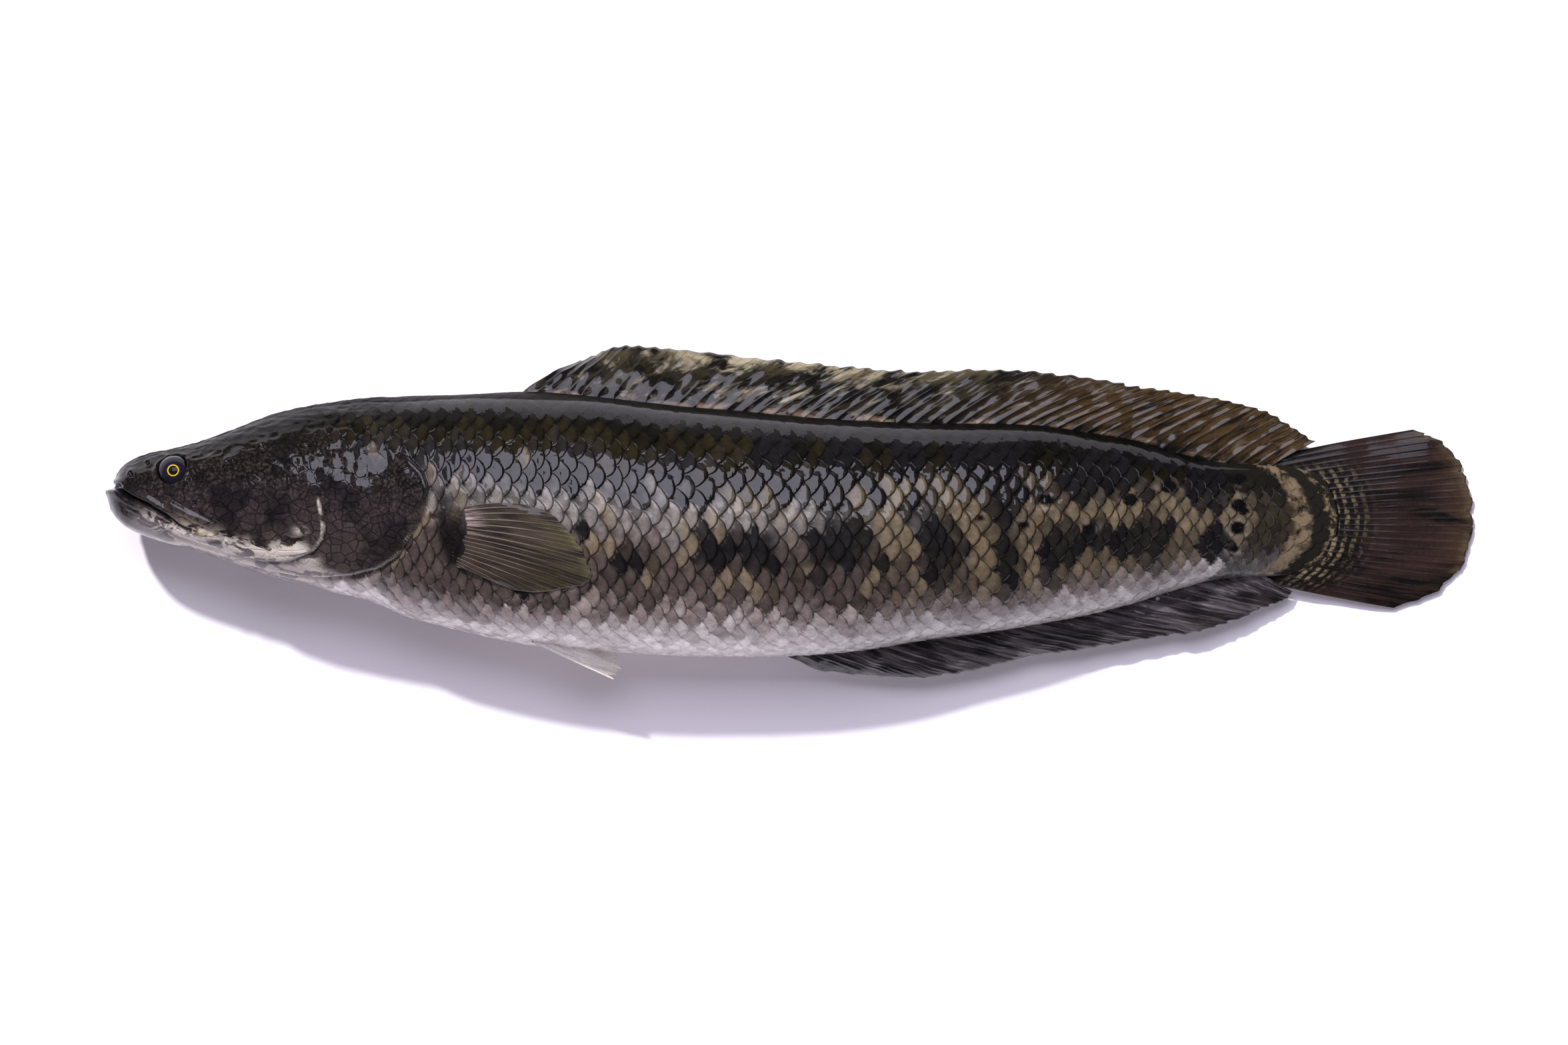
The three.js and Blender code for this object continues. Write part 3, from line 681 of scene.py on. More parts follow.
def skinMaterial():
    # colours by how far round the body a scale lies, patches and spots over them, the head's own colours in front
    # of the scales, then relief and a film of slime
    material, tree, shader = wetMaterial("wetSkin", skinLook["roughness"], 1.0, skinLook["slimeRoughness"])
    shader.inputs["Specular IOR Level"].default_value = skinLook["specular"]
    p = skinPaints
    a, b = mapOf(tree, "skinMap")
    girth, length, scaly, bold, chance, middleGirth = [
        valueOf(tree, name) for name in ("girth", "length", "scaly", "bold", "chance", "middleGirth")]
    t = insideEdge(tree, a, b)
    place = objectPlace(tree)
    grain = noiseOf(tree, place, 900.0, 3, 0.6)
    cloud = noiseOf(tree, place, 60.0, 3, 0.55)
    mottle = noiseOf(tree, place, 260.0, 4, 0.65)

    # ground colour from back to belly, scale by scale
    wander = plus(tree, middleGirth, times(tree, minus(tree, chance, 0.5), 0.07))
    wander = plus(tree, wander, times(tree, minus(tree, cloud, 0.5), 0.14))
    # brown reaches lower behind the gills
    behindGills = times(tree, easeNode(tree, length, 0.37, 0.27), easeNode(tree, girth, 0.5, 0.7))
    wander = minus(tree, wander, times(tree, behindGills, 0.085))
    ground = rampOf(tree, wander, [
        (0.0, p["back"]), (0.2, p["back"]), (0.26, p["olive"]), (0.32, p["slate"]), (0.37, p["slate"]),
        (0.42, p["grey"]), (0.455, p["grey"]), (0.505, p["brown"]), (0.67, p["brown"]), (0.73, p["pinkGrey"]),
        (0.8, p["lowBelly"]), (0.88, p["belly"]), (1.0, p["belly"])])
    ground = mixColour(tree, valueOf(tree, "tan"), ground, p["tan"])
    # the free edge of a scale is yellower, its root greyer
    ground = mixColour(tree, times(tree, times(tree, easeNode(tree, t, 0.4, 0.1), valueOf(tree, "tan")), 0.35),
                       ground, p["orange"])
    rearShade = minus(tree, 1.0, times(tree, easeNode(tree, length, 0.5, 0.72), 0.42))
    ground = shade(tree, ground, rearShade)
    colour = mixColour(tree, times(tree, valueOf(tree, "dark"), 0.95), ground, p["blotch"])
    mottled = plus(tree, 1.0, times(tree, minus(tree, mottle, 0.5), 1.8))
    colour = shade(tree, colour, mottled)
    # each scale differs a little in tone, with a painted highlight across its middle, painted shade at its root under
    # the next scale and a fine painted shadow along its free edge
    domeHighlight = times(tree, easeNode(tree, t, 0.08, 0.3), easeNode(tree, t, 0.85, 0.4))
    tone = plus(tree, 0.66, times(tree, chance, 0.32))
    domeHighlight = mixNumber(tree, easeNode(tree, middleGirth, 0.8, 0.6), 0.9, domeHighlight)
    tone = plus(tree, tone, times(tree, domeHighlight, 0.32))
    colour = shade(tree, colour, tone)
    # painted shadow along the free edge and painted shade at the covered root, weaker near the belly
    freeEdgeShadow = times(tree, easeNode(tree, t, 0.1, 0.02), 0.7)
    rootDark = times(tree, easeNode(tree, t, 0.62, 0.98), 0.75)
    scaleEdgeShade = times(tree, maths(tree, "MAXIMUM", freeEdgeShadow, rootDark), times(tree, bold, scaly))
    scaleEdgeShade = times(tree, scaleEdgeShade, easeNode(tree, middleGirth, 0.92, 0.68))
    colour = mixColour(tree, scaleEdgeShade, colour, p["inkAndShade"])

    # root of the tail: a dark patch, a curved pale band, dark again
    arc = plus(tree, valueOf(tree, "tailArc"), times(tree, minus(tree, cloud, 0.5), 11.0))
    colour = mixColour(tree, times(tree, easeNode(tree, arc, 416.0, 420.0), 0.8), colour, p["tailPatch"])
    paleBand = times(tree, easeNode(tree, arc, 432.0, 434.5), easeNode(tree, arc, 441.5, 438.5))
    paleBand = times(tree, paleBand, easeNode(tree, mottle, 0.3, 0.55))
    secondBand = times(tree, easeNode(tree, arc, 446.5, 448.0), easeNode(tree, arc, 450.5, 449.0))
    colour = mixColour(tree, easeNode(tree, arc, 438.0, 441.0), colour, p["rootDark"])
    colour = mixColour(tree, times(tree, paleBand, 0.9), colour, p["bandTan"])
    colour = mixColour(tree, times(tree, secondBand, easeNode(tree, mottle, 0.42, 0.6)), colour, p["bandTan"])
    colour = mixColour(tree, times(tree, valueOf(tree, "spotRim"), 0.12), colour, p["cream"])
    colour = mixColour(tree, valueOf(tree, "spot"), colour, p["inkAndShade"])

    # head: plates with dark joints and fine speckle
    platePlace = objectPlace(tree, (1.0, 1.15, 1.0))
    plates = voronoiOf(tree, platePlace, skinLook["platesPerMetre"])
    plateId = voronoiOf(tree, platePlace, skinLook["platesPerMetre"], "F1", "Color")
    joint = easeNode(tree, plates, 0.09, 0.02)
    headTone = rampOf(tree, girth, [(0.0, p["back"]), (0.3, p["back"]), (0.42, p["cheekDark"]), (0.6, p["cheek"]),
                                    (0.8, p["brown"]), (0.92, p["pinkGrey"]), (1.0, p["cream"])])
    speckle = easeNode(tree, grain, 0.42, 0.7)
    headColour = mixColour(tree, times(tree, speckle, 0.5), headTone, p["brown"])
    headColour = mixColour(tree, times(tree, easeNode(tree, cloud, 0.5, 0.64), 0.75), headColour, p["cheekDark"])
    headColour = mixColour(tree, times(tree, easeNode(tree, girth, 0.35, 0.2), 0.9), headColour, p["back"])
    marble = noiseOf(tree, objectPlace(tree, (0.75, 1.2, 1.0)), 150.0, 3, 0.6, 0.9)
    plateTone = plus(tree, 0.7, times(tree, plateId, 0.6))
    headColour = shade(tree, headColour, plateTone)
    headColour = mixColour(tree, times(tree, joint, 0.6), headColour, p["inkAndShade"])
    headColour = mixColour(tree, times(tree, valueOf(tree, "jawGrey"), 0.8), headColour, p["jawGrey"])
    pale = times(tree, valueOf(tree, "chinPale"), easeNode(tree, marble, 0.44, 0.53))
    headColour = mixColour(tree, pale, headColour, p["cream"])
    lip = times(tree, valueOf(tree, "lipRust"), easeNode(tree, mottle, 0.3, 0.62))
    headColour = mixColour(tree, lip, headColour, p["rust"])
    colour = mixColour(tree, scaly, headColour, colour)
    # painted pinkish highlight just behind the gill cover, in front of the pectoral fin's root
    rootPinkHighlight = times(tree, valueOf(tree, "rootPinkHighlight"), easeNode(tree, mottle, 0.4, 0.6))
    colour = mixColour(tree, rootPinkHighlight, colour, p["pinkGrey"])
    # painted shade in the folds, the gill slit, the pit at the pectoral fin's root and round the eyes
    colour = mixColour(tree, times(tree, valueOf(tree, "foldShade"), 0.85), colour, p["inkAndShade"])
    rimPale = times(tree, valueOf(tree, "rimPale"), easeNode(tree, mottle, 0.36, 0.62))
    colour = mixColour(tree, rimPale, colour, p["cream"])
    # painted shade in the slit of the mouth
    colour = mixColour(tree, valueOf(tree, "mouthShade"), colour, p["inkAndShade"])
    grainTone = plus(tree, 0.8, times(tree, grain, 0.4))
    colour = shade(tree, colour, grainTone)
    tree.links.new(colour, shader.inputs["Base Color"])

    # relief: scale edges, plates, mottle and grain
    scaleHeight = times(tree, easeNode(tree, t, 0.0, 0.14), minus(tree, 1.0, times(tree, t, 0.9)))
    scaleHeight = times(tree, scaleHeight, times(tree, bold, scaly))
    plateHeight = times(tree, easeNode(tree, plates, 0.0, 0.1), minus(tree, 1.0, scaly))
    relief = plus(tree, scaleHeight, times(tree, plateHeight, 0.24))
    film = plus(tree, scaleHeight, times(tree, plateHeight, 0.05))
    relief = plus(tree, relief, times(tree, mottle, 0.5))
    normal = bumpOf(tree, relief, skinLook["reliefBump"], 0.9)
    normal = bumpOf(tree, grain, skinLook["grainBump"], 0.6, normal)
    tree.links.new(normal, shader.inputs["Normal"])
    # the film itself follows the scales and hardly shows the plates
    smooth = bumpOf(tree, times(tree, film, easeNode(tree, girth, 0.1, 0.22)), skinLook["slimeBump"], 0.7)
    tree.links.new(smooth, shader.inputs["Coat Normal"])
    rough = plus(tree, 0.38, times(tree, grain, 0.2))
    tree.links.new(rough, shader.inputs["Roughness"])
    # the film of slime ends at the ridge of the back, is thin just beside it and on the crown, and is nearly
    # gone in a band of dry scales between the back and the flank
    thinCrown = times(tree, easeNode(tree, length, 0.3, 0.2), easeNode(tree, girth, 0.3, 0.2))
    ridgeBand = plus(tree, 0.78, times(tree, easeNode(tree, girth, 0.17, 0.24), 0.22))
    slime = times(tree, ridgeBand, easeNode(tree, girth, 0.088, 0.1))
    slime = times(tree, slime, minus(tree, 1.0, times(tree, thinCrown, 0.6)))
    dry = times(tree, easeNode(tree, middleGirth, 0.158, 0.172), easeNode(tree, girth, 0.25, 0.225))
    dry = times(tree, times(tree, dry, scaly), 0.94)
    slime = times(tree, slime, minus(tree, 1.0, dry))
    tree.links.new(slime, shader.inputs["Coat Weight"])
    return material


def eyeBall(side, node):
    # globe with a bulging clear front, rings of points from the front pole to the back one
    centre, radius = centreOfEye(node)
    front = np.array([-0.03, 0.17, side * 1.0])
    front /= np.linalg.norm(front)
    sideways = np.cross(front, [0, 1, 0])
    sideways /= np.linalg.norm(sideways)
    upwards = np.cross(sideways, front)
    rings, sides = 40, 56
    polar = np.linspace(0, np.pi, rings + 1)[1:-1]
    turn = np.linspace(0, 2 * np.pi, sides, endpoint=False)
    fromFront, turned = np.meshgrid(polar, turn, indexing="ij")
    size = radius * (0.985 - 0.03 * np.cos(fromFront) + 0.05 * hump(fromFront, 0.55))
    away = np.sin(fromFront)[..., None] * (np.cos(turned)[..., None] * sideways + np.sin(turned)[..., None] * upwards)
    points = centre + size[..., None] * (away + np.cos(fromFront)[..., None] * front)
    poles = np.stack([centre + radius * 1.005 * front, centre - radius * 1.01 * front])
    points = np.vstack([points.reshape(-1, 3), poles])
    quads, poleFans = ringFaces(rings - 1, sides)
    if not facesOut(points, quads, points[quads[:, 0]] - centre):
        quads, poleFans = quads[:, ::-1], poleFans[:, ::-1]
    values = {"fromPole": np.concatenate([fromFront.reshape(-1), [0, np.pi]]) * radius}
    return meshFrom("leftEye" if side > 0 else "rightEye", points, quads, poleFans, None, values)


def eyeMaterial():
    # rings of colour by distance from the front pole: pupil, yellow ring, dark iris, black rim
    material, tree, shader = wetMaterial("eyeGloss", 0.12, 0.35, 0.02)
    shader.inputs["Coat IOR"].default_value = 1.3
    away = valueOf(tree, "fromPole")
    iris = paint(26, 27, 38)
    rays = noiseOf(tree, objectPlace(tree, (1, 1, 1)), 700.0, 3, 0.6)
    irisColour = mixColour(tree, rays, paint(10, 10, 18), paint(38, 37, 50))
    ring = rampOf(tree, maths(tree, "DIVIDE", away, 8.0), [(0.0, paint(20, 20, 36)), (0.218, paint(16, 16, 28)),
                  (0.232, paint(226, 192, 10)), (0.27, paint(206, 166, 6)), (0.285, iris), (1.0, iris)])
    outside = easeNode(tree, away, 2.3, 2.5)
    colour = mixColour(tree, outside, ring, irisColour)
    dark = easeNode(tree, away, 4.6, 6.2)
    colour = mixColour(tree, dark, colour, paint(10, 9, 12))
    tree.links.new(colour, shader.inputs["Base Color"])
    tree.links.new(bumpOf(tree, rays, 0.00004, 0.3), shader.inputs["Normal"])
    rough = plus(tree, 0.06, times(tree, rays, 0.08))
    tree.links.new(rough, shader.inputs["Roughness"])
    return material


def finSheet(name, middle, settings):
    # closed sheet: u counts rays, v runs from root to tip. Rays stand out as ridges, the web between them sags,
    # and the edge is cut back between the rays
    perRay, steps, rays = settings["perRay"], settings["steps"], settings["rays"]
    acrossRays = np.linspace(0, rays - 1, (rays - 1) * perRay + 1)
    u, v = np.meshgrid(acrossRays, np.linspace(0, 1, steps), indexing="ij")
    rng = np.random.default_rng(settings["seed"])
    between = 0.5 - 0.5 * np.cos(2 * np.pi * u)
    rayLength = 1 - settings["uneven"] * np.interp(u, np.arange(rays), rng.random(rays))
    gapDepth = settings["scallop"] + settings.get("tear", 0.0) * (rng.random(rays + 1) ** 5)
    reach = rayLength - gapDepth[np.clip(np.floor(u).astype(int), 0, rays)] * between ** settings.get("sharp", 1.0)
    fringe = settings["fringe"] * (softNoise(np.stack([u * 3.1, u * 0, u * 0], -1), 1.0, settings["seed"]) - 0.5)
    reached = v * (reach + fringe)
    points = middle(u / (rays - 1), reached)
    n = surfaceNormals(points)
    if (n[..., 2].mean() < 0) != (settings.get("side", 1) < 0):
        n = -n
    # rays fork towards the tip
    split = ease(settings["forkAt"], settings["forkAt"] + 0.35, v)
    onRay = np.abs(np.cos(np.pi * u)) ** settings.get("fine", 12)
    onFork = np.abs(np.cos(2 * np.pi * u)) ** settings.get("fine", 12) * 0.7
    ridgeHeight = onRay * (1 - split) + onFork * split
    fade = 1 - 0.65 * v
    thick = (settings["thin"] + (settings["thick"] - settings["thin"]) * fade) / 2
    joints = 1 + 0.12 * np.sin(v * 60) * ridgeHeight
    ripple = settings["ripple"] * (softNoise(points, settings.get("rippleSize", 6.0), 31 + settings["seed"]) - 0.5)
    ripple = ripple * ease(0, 0.2, v)
    offset = ripple + settings.get("wave", 0.0) * np.sin(np.pi * u) ** 2 * ease(0, 0.3, v)
    face = thick * (1 + ridgeHeight * settings["ridge"] * joints)
    topSide = points + n * (offset + face)[..., None]
    lowSide = points + n * (offset - face)[..., None]
    nu, nv = u.shape
    grid = np.arange(nu * nv).reshape(nu, nv)
    under = grid + nu * nv

    def quadsOf(g):
        return np.stack([g[:-1, :-1], g[1:, :-1], g[1:, 1:], g[:-1, 1:]], -1).reshape(-1, 4)

    loop = np.concatenate([grid[:, 0], grid[-1, 1:], grid[-2::-1, -1], grid[0, -2:0:-1]])
    after = np.roll(loop, -1)
    band = np.stack([after, loop, loop + nu * nv, after + nu * nv], -1)
    quads = np.vstack([quadsOf(grid), quadsOf(under)[:, ::-1], band])
    allPoints = np.vstack([topSide.reshape(-1, 3), lowSide.reshape(-1, 3)])
    if not facesOut(allPoints, quadsOf(grid), n[:-1, :-1].reshape(-1, 3)):
        quads = quads[:, ::-1]
    finMap = np.stack([u.ravel(), v.ravel()], -1)
    values = {"ridge": np.tile(ridgeHeight.ravel(), 2), "alongFin": np.tile(u.ravel() / (rays - 1), 2)}
    return meshFrom(name, allPoints, quads, (), {"finMap": np.vstack([finMap, finMap])}, values)


def longFin(settings, side):
    # middle surface of the fin along the back (side 1) or belly (side -1): each ray rises from 2.5 mm inside the
    # skin by its share of the height, leans back by its share of the sweep, and droops with the square of v
    sunk = 2.5

    def middle(u, v):
        tall, swept = np.moveaxis(throughRows(settings["rows"], u), -1, 0)
        x = settings["start"] + u * settings["length"]
        back, belly, _, axis, _, sag = measures(x)
        edge = back if side > 0 else belly
        rootZ = axis - (sag if side < 0 else 0)
        y = edge + side * (-sunk + (sunk + tall * settings["height"]) * v)
        return np.stack([x + swept * settings["sweep"] * v ** 1.25, y, rootZ * (1 - settings["droop"] * v * v)], -1)
    return middle


def tailMiddle(settings):
    # rays fan out from an arc across the end of the body to their tips, sinking evenly to the surface
    def middle(u, v):
        reach, spread = np.moveaxis(throughRows(settings["rows"], u), -1, 0)
        across = u * 2 - 1
        rootX = settings["rootX"] - settings["rootArc"] * across ** 2
        rootY = tailAxis["y"] + across * settings["rootHalf"]
        tipX = settings["rootX"] + 7 + reach * settings["reach"]
        tipY = tailAxis["y"] + spread * settings["spread"]
        z = tailAxis["rootZ"] - tailAxis["fall"] * v
        return np.stack([rootX + (tipX - rootX) * v, rootY + (tipY - rootY) * v ** 0.8, z], -1)
    return middle


def pectoralMiddle(settings, side, standoff):
    # rays run straight from root to tip in the side view, over the flank at a clearance that starts inside the
    # skin, rises to the standoff and drops again towards the tips
    def middle(u, v):
        tipX, tipY = np.moveaxis(throughRows(settings["tips"], u), -1, 0)
        rootX = settings["rootX"] - 4 * u * (1 - u)
        rootY = settings["rootTop"] - settings["rootSpan"] * u
        x = rootX + (tipX - rootX) * v
        y = rootY + (tipY - rootY) * v + 1.5 * np.sin(np.pi * v) * (1 - u)
        sunk = settings["sunk"]
        clear = -sunk + (standoff + sunk) * ease(0, 0.26, v) - 0.45 * standoff * ease(0.6, 1, v)
        return np.stack([x, y, flankHeight(x, y, side) + side * clear], -1)
    return middle


def pelvicMiddle(settings, side):
    # a narrow fan from the belly, straight to its tips and drooping with v to the power 1.5
    def middle(u, v):
        _, belly, _, axis, _, sag = measures(np.full(u.shape, settings["rootX"]))
        rootZ = axis - sag + settings["leftRise" if side > 0 else "rightRise"]
        x = settings["rootX"] + (u - 0.5) * 6 + v * settings["length"] * (1 - 0.22 * u)
        y = belly + 3 - v * settings["drop"] + (u - 0.5) * (4 + v * 6)
        return np.stack([x, y, rootZ * (1 - settings["droop"] * v ** 1.5)], -1)
    return middle


def finMaterial(name, web):
    # marbled web in two tones, streaks along the rays, lighter rays
    material, tree, shader = wetMaterial(name, web.get("roughness", 0.3), web.get("coat", 0.8), 0.06)
    u, v = mapOf(tree, "finMap")
    ridge = valueOf(tree, "ridge")
    streakPlace = vectorOf(tree, times(tree, u, web["streakAcross"]),
                           times(tree, v, web["streakAlong"]))
    streaks = noiseOf(tree, streakPlace, 1.0, 4, 0.6, 0.4)
    blotchPlace = vectorOf(tree, times(tree, u, web["blotchAcross"]),
                           times(tree, v, web["blotchAlong"]), 5.0)
    blotches = noiseOf(tree, blotchPlace, 1.0, 3, 0.6, 0.8)
    ground = rampOf(tree, v, web["rootToTip"])
    blotchy = easeNode(tree, blotches, web["blotchLow"], web["blotchHigh"])
    colour = mixColour(tree, blotchy, ground, web["blotch"])
    if "rear" in web:
        rearward = easeNode(tree, valueOf(tree, "alongFin"), web["rearFrom"] - 0.06, web["rearFrom"] + 0.12)
        rusty = times(tree, rearward, times(tree, easeNode(tree, v, 0.1, 0.4), 0.7))
        colour = mixColour(tree, rusty, colour, web["rear"])
        darkPlace = vectorOf(tree, times(tree, u, 2.6), times(tree, v, 3.4), 9.0)
        darkStreaks = noiseOf(tree, darkPlace, 1.0, 3, 0.6, 0.5)
        darkStreaks = times(tree, easeNode(tree, darkStreaks, 0.47, 0.6), times(tree, rearward, 0.8))
        colour = mixColour(tree, darkStreaks, colour, web["blotch"])
    streakLow = web.get("streakLow", 0.45)
    pale = times(tree, easeNode(tree, streaks, streakLow, streakLow + 0.2), web["streakPower"])
    if "rear" in web:
        pale = times(tree, pale, minus(tree, 1.0, times(tree, rearward, 0.75)))
    colour = mixColour(tree, pale, colour, web["streak"])
    if "margin" in web:
        alongFin = valueOf(tree, "alongFin")
        marginZone = times(tree, easeNode(tree, alongFin, 0.1, 0.2), easeNode(tree, alongFin, 0.5, 0.36))
        marginZone = times(tree, marginZone, easeNode(tree, plus(tree, v, times(tree, blotches, 1.3)), 1.34, 1.56))
        marginZone = times(tree, marginZone, easeNode(tree, streaks, 0.42, 0.62))
        colour = mixColour(tree, marginZone, colour, web["margin"])
    # painted highlight on the upper root of the fin and painted shade on the lower root, where it leaves the dark pit
    if "rootPaleHighlight" in web:
        upperRootHighlight = times(tree, easeNode(tree, v, 0.34, 0.1), easeNode(tree, u, 7.5, 2.5))
        upperRootHighlight = times(tree, upperRootHighlight, easeNode(tree, streaks, 0.42, 0.6))
        colour = mixColour(tree, upperRootHighlight, colour, web["rootPaleHighlight"])
        lowerRootShade = times(tree, easeNode(tree, v, 0.14, 0.05), easeNode(tree, u, 4, 8))
        colour = mixColour(tree, lowerRootShade, colour, web["blotch"])
    if "bars" in web:
        # rows of pale marks across the root of the fin, broken by the rays, dark between them
        wander = plus(tree, times(tree, blotches, 5.0), times(tree, streaks, 1.5))
        wave = maths(tree, "SINE", plus(tree, times(tree, v, 118.0), wander))
        zone = times(tree, easeNode(tree, v, 0.52, 0.2), easeNode(tree, v, 0.1, 0.17))
        bars = times(tree, easeNode(tree, wave, -0.5, 0.6), zone)
        across = maths(tree, "ABSOLUTE", maths(tree, "SINE", times(tree, u, 2 * math.pi)))
        dots = times(tree, bars, plus(tree, 0.25, times(tree, easeNode(tree, across, 0.1, 0.9), 0.75)))
        dots = times(tree, dots, easeNode(tree, noiseOf(tree, objectPlace(tree), 330.0, 3, 0.6), 0.4, 0.58))
        rootZone = times(tree, easeNode(tree, v, 0.5, 0.3), 0.85)
        colour = mixColour(tree, rootZone, colour, web["blotch"])
        middleOnly = easeNode(tree, maths(tree, "ABSOLUTE", minus(tree, valueOf(tree, "alongFin"), 0.45)), 0.5, 0.3)
        colour = mixColour(tree, times(tree, times(tree, dots, middleOnly), 0.85), colour, web["bars"])
    onRays = times(tree, easeNode(tree, ridge, 0.35, 0.95), web["rayPower"])
    colour = mixColour(tree, onRays, colour, web["ray"])
    grain = noiseOf(tree, objectPlace(tree), 1100.0, 3, 0.6)
    tone = plus(tree, 0.75, times(tree, grain, 0.5))
    colour = shade(tree, colour, tone)
    tree.links.new(colour, shader.inputs["Base Color"])
    height = plus(tree, times(tree, ridge, 0.6), times(tree, streaks, 0.8))
    normal = bumpOf(tree, height, web.get("bump", 0.0005), 0.6)
    normal = bumpOf(tree, noiseOf(tree, objectPlace(tree), 420.0, 3, 0.6), 0.0003, 0.6, normal)
    tree.links.new(normal, shader.inputs["Normal"])
    rough = plus(tree, web.get("roughness", 0.3) - 0.1, times(tree, grain, 0.22))
    tree.links.new(rough, shader.inputs["Roughness"])
    return material


finishPiece(bodySkin(), "body", skinMaterial())

eyeLook = eyeMaterial()
for side, node in ((1, "left_eye"), (-1, "right_eye")):
    finishPiece(eyeBall(side, node), node, eyeLook)

# in every fin: rays is their number, perRay and steps set the grid, thin and thick are mm at the tip and the root,
# scallop and tear cut the edge back between rays, uneven and fringe break its line, ridge is the rays' height
dorsalFin = {
    "start": 149, "length": 275, "height": 19.7, "sweep": 39, "droop": 0.3, "rays": 49,
    # rows: share along the root, height share, sweep share
    "rows": [(0, 0.62, 0.6), (0.075, 0.89, 0.46), (0.15, 0.95, 0.42), (0.275, 0.9, 0.76), (0.41, 0.9, 0.82),
             (0.55, 1.0, 0.9), (0.7, 0.74, 1.0), (0.82, 0.75, 0.85), (0.91, 0.82, 0.72), (1, 0.45, 0.47)],
    "seed": 11, "perRay": 10, "steps": 30, "thin": 0.28, "thick": 0.6, "ridge": 0.45, "scallop": 0.016,
    "uneven": 0.01, "tear": 0.02, "ripple": 1.3, "rippleSize": 5, "wave": -0.22, "forkAt": 0.6, "fringe": 0.012,
    "fine": 20,
}
dorsalWeb = {
    "rootToTip": [(0.0, paint(24, 21, 16)), (0.1, paint(60, 48, 40)), (0.16, paint(118, 98, 84)),
                  (0.26, paint(44, 39, 30)), (0.7, paint(40, 36, 25)), (1.0, paint(74, 66, 48))],
    "blotch": paint(16, 14, 12), "streak": paint(150, 140, 122), "ray": paint(26, 23, 18),
    "rear": paint(74, 56, 34), "margin": paint(150, 140, 116),
    "streakAcross": 0.8, "streakAlong": 3.2, "blotchAcross": 0.42, "blotchAlong": 2.4, "blotchLow": 0.4,
    "blotchHigh": 0.54, "streakPower": 0.85, "streakLow": 0.54, "rayPower": 0.7, "rearFrom": 0.58,
}
finishPiece(finSheet("dorsalFin", longFin(dorsalFin, 1), dorsalFin), "dorsal_fin",
            finMaterial("dorsalWeb", dorsalWeb))

analFin = {
    "start": 243, "length": 178, "height": 8.7, "sweep": 42, "droop": 0.45, "rays": 32,
    "rows": [(0, 0.62, 0.45), (0.08, 0.95, 0.72), (0.19, 1.0, 0.78), (0.34, 0.8, 0.83), (0.5, 0.66, 0.93),
             (0.67, 0.72, 1.0), (0.81, 0.76, 0.83), (0.91, 0.9, 0.62), (1, 0.67, 0.32)],
    "seed": 12, "perRay": 10, "steps": 30, "thin": 0.3, "thick": 0.8, "ridge": 0.6, "scallop": 0.012,
    "uneven": 0.012, "tear": 0.02, "ripple": 1.6, "rippleSize": 5, "wave": -0.1, "forkAt": 0.35, "fringe": 0.014,
    "fine": 16,
}
analWeb = {
    "rootToTip": [(0.0, paint(70, 64, 62)), (0.2, paint(56, 50, 52)), (0.6, paint(40, 36, 40)),
                  (1.0, paint(44, 38, 38))],
    "blotch": paint(24, 21, 24), "streak": paint(128, 120, 124), "ray": paint(92, 86, 92),
    "streakAcross": 1.2, "streakAlong": 1.6, "blotchAcross": 0.3, "blotchAlong": 1.8, "blotchLow": 0.44,
    "blotchHigh": 0.6, "streakPower": 0.5, "rayPower": 0.35,
}
finishPiece(finSheet("analFin", longFin(analFin, -1), analFin), "anal_fin",
            finMaterial("analWeb", analWeb))

tailFin = {
    "rootX": 434, "rootArc": 13, "rootHalf": 21.5, "reach": 61, "spread": 33.4, "rays": 15,
    # rows: share from the lowest ray up, reach share, spread share
    "rows": [(0, 0.5, -0.97), (0.1, 0.70, -0.84), (0.22, 0.86, -0.62), (0.36, 0.945, -0.33), (0.5, 0.975, 0.02),
             (0.64, 0.965, 0.33), (0.78, 0.91, 0.6), (0.9, 0.81, 0.83), (1, 0.62, 1.0)],
    "seed": 13, "perRay": 26, "steps": 64, "thin": 0.3, "thick": 1.0, "ridge": 0.25, "scallop": 0.004,
    "uneven": 0.006, "tear": 0.025, "sharp": 24.0, "ripple": 1.2, "rippleSize": 11, "forkAt": 0.12, "fringe": 0.03,
}
tailWeb = {
    "rootToTip": [(0.0, paint(28, 26, 22)), (0.3, paint(34, 26, 25)), (0.8, paint(38, 27, 25)),
                  (0.94, paint(56, 42, 32)), (1.0, paint(84, 72, 54))],
    "blotch": paint(17, 14, 14), "streak": paint(58, 43, 38), "ray": paint(56, 45, 42), "bars": paint(126, 114, 88),
    "streakAcross": 3.0, "streakAlong": 2.0, "blotchAcross": 0.4, "blotchAlong": 1.6, "blotchLow": 0.42,
    "blotchHigh": 0.6, "streakPower": 0.5, "rayPower": 0.22, "coat": 0.4, "bump": 0.0003,
}
finishPiece(finSheet("tailFin", tailMiddle(tailFin), tailFin), "caudal_fin",
            finMaterial("tailWeb", tailWeb))

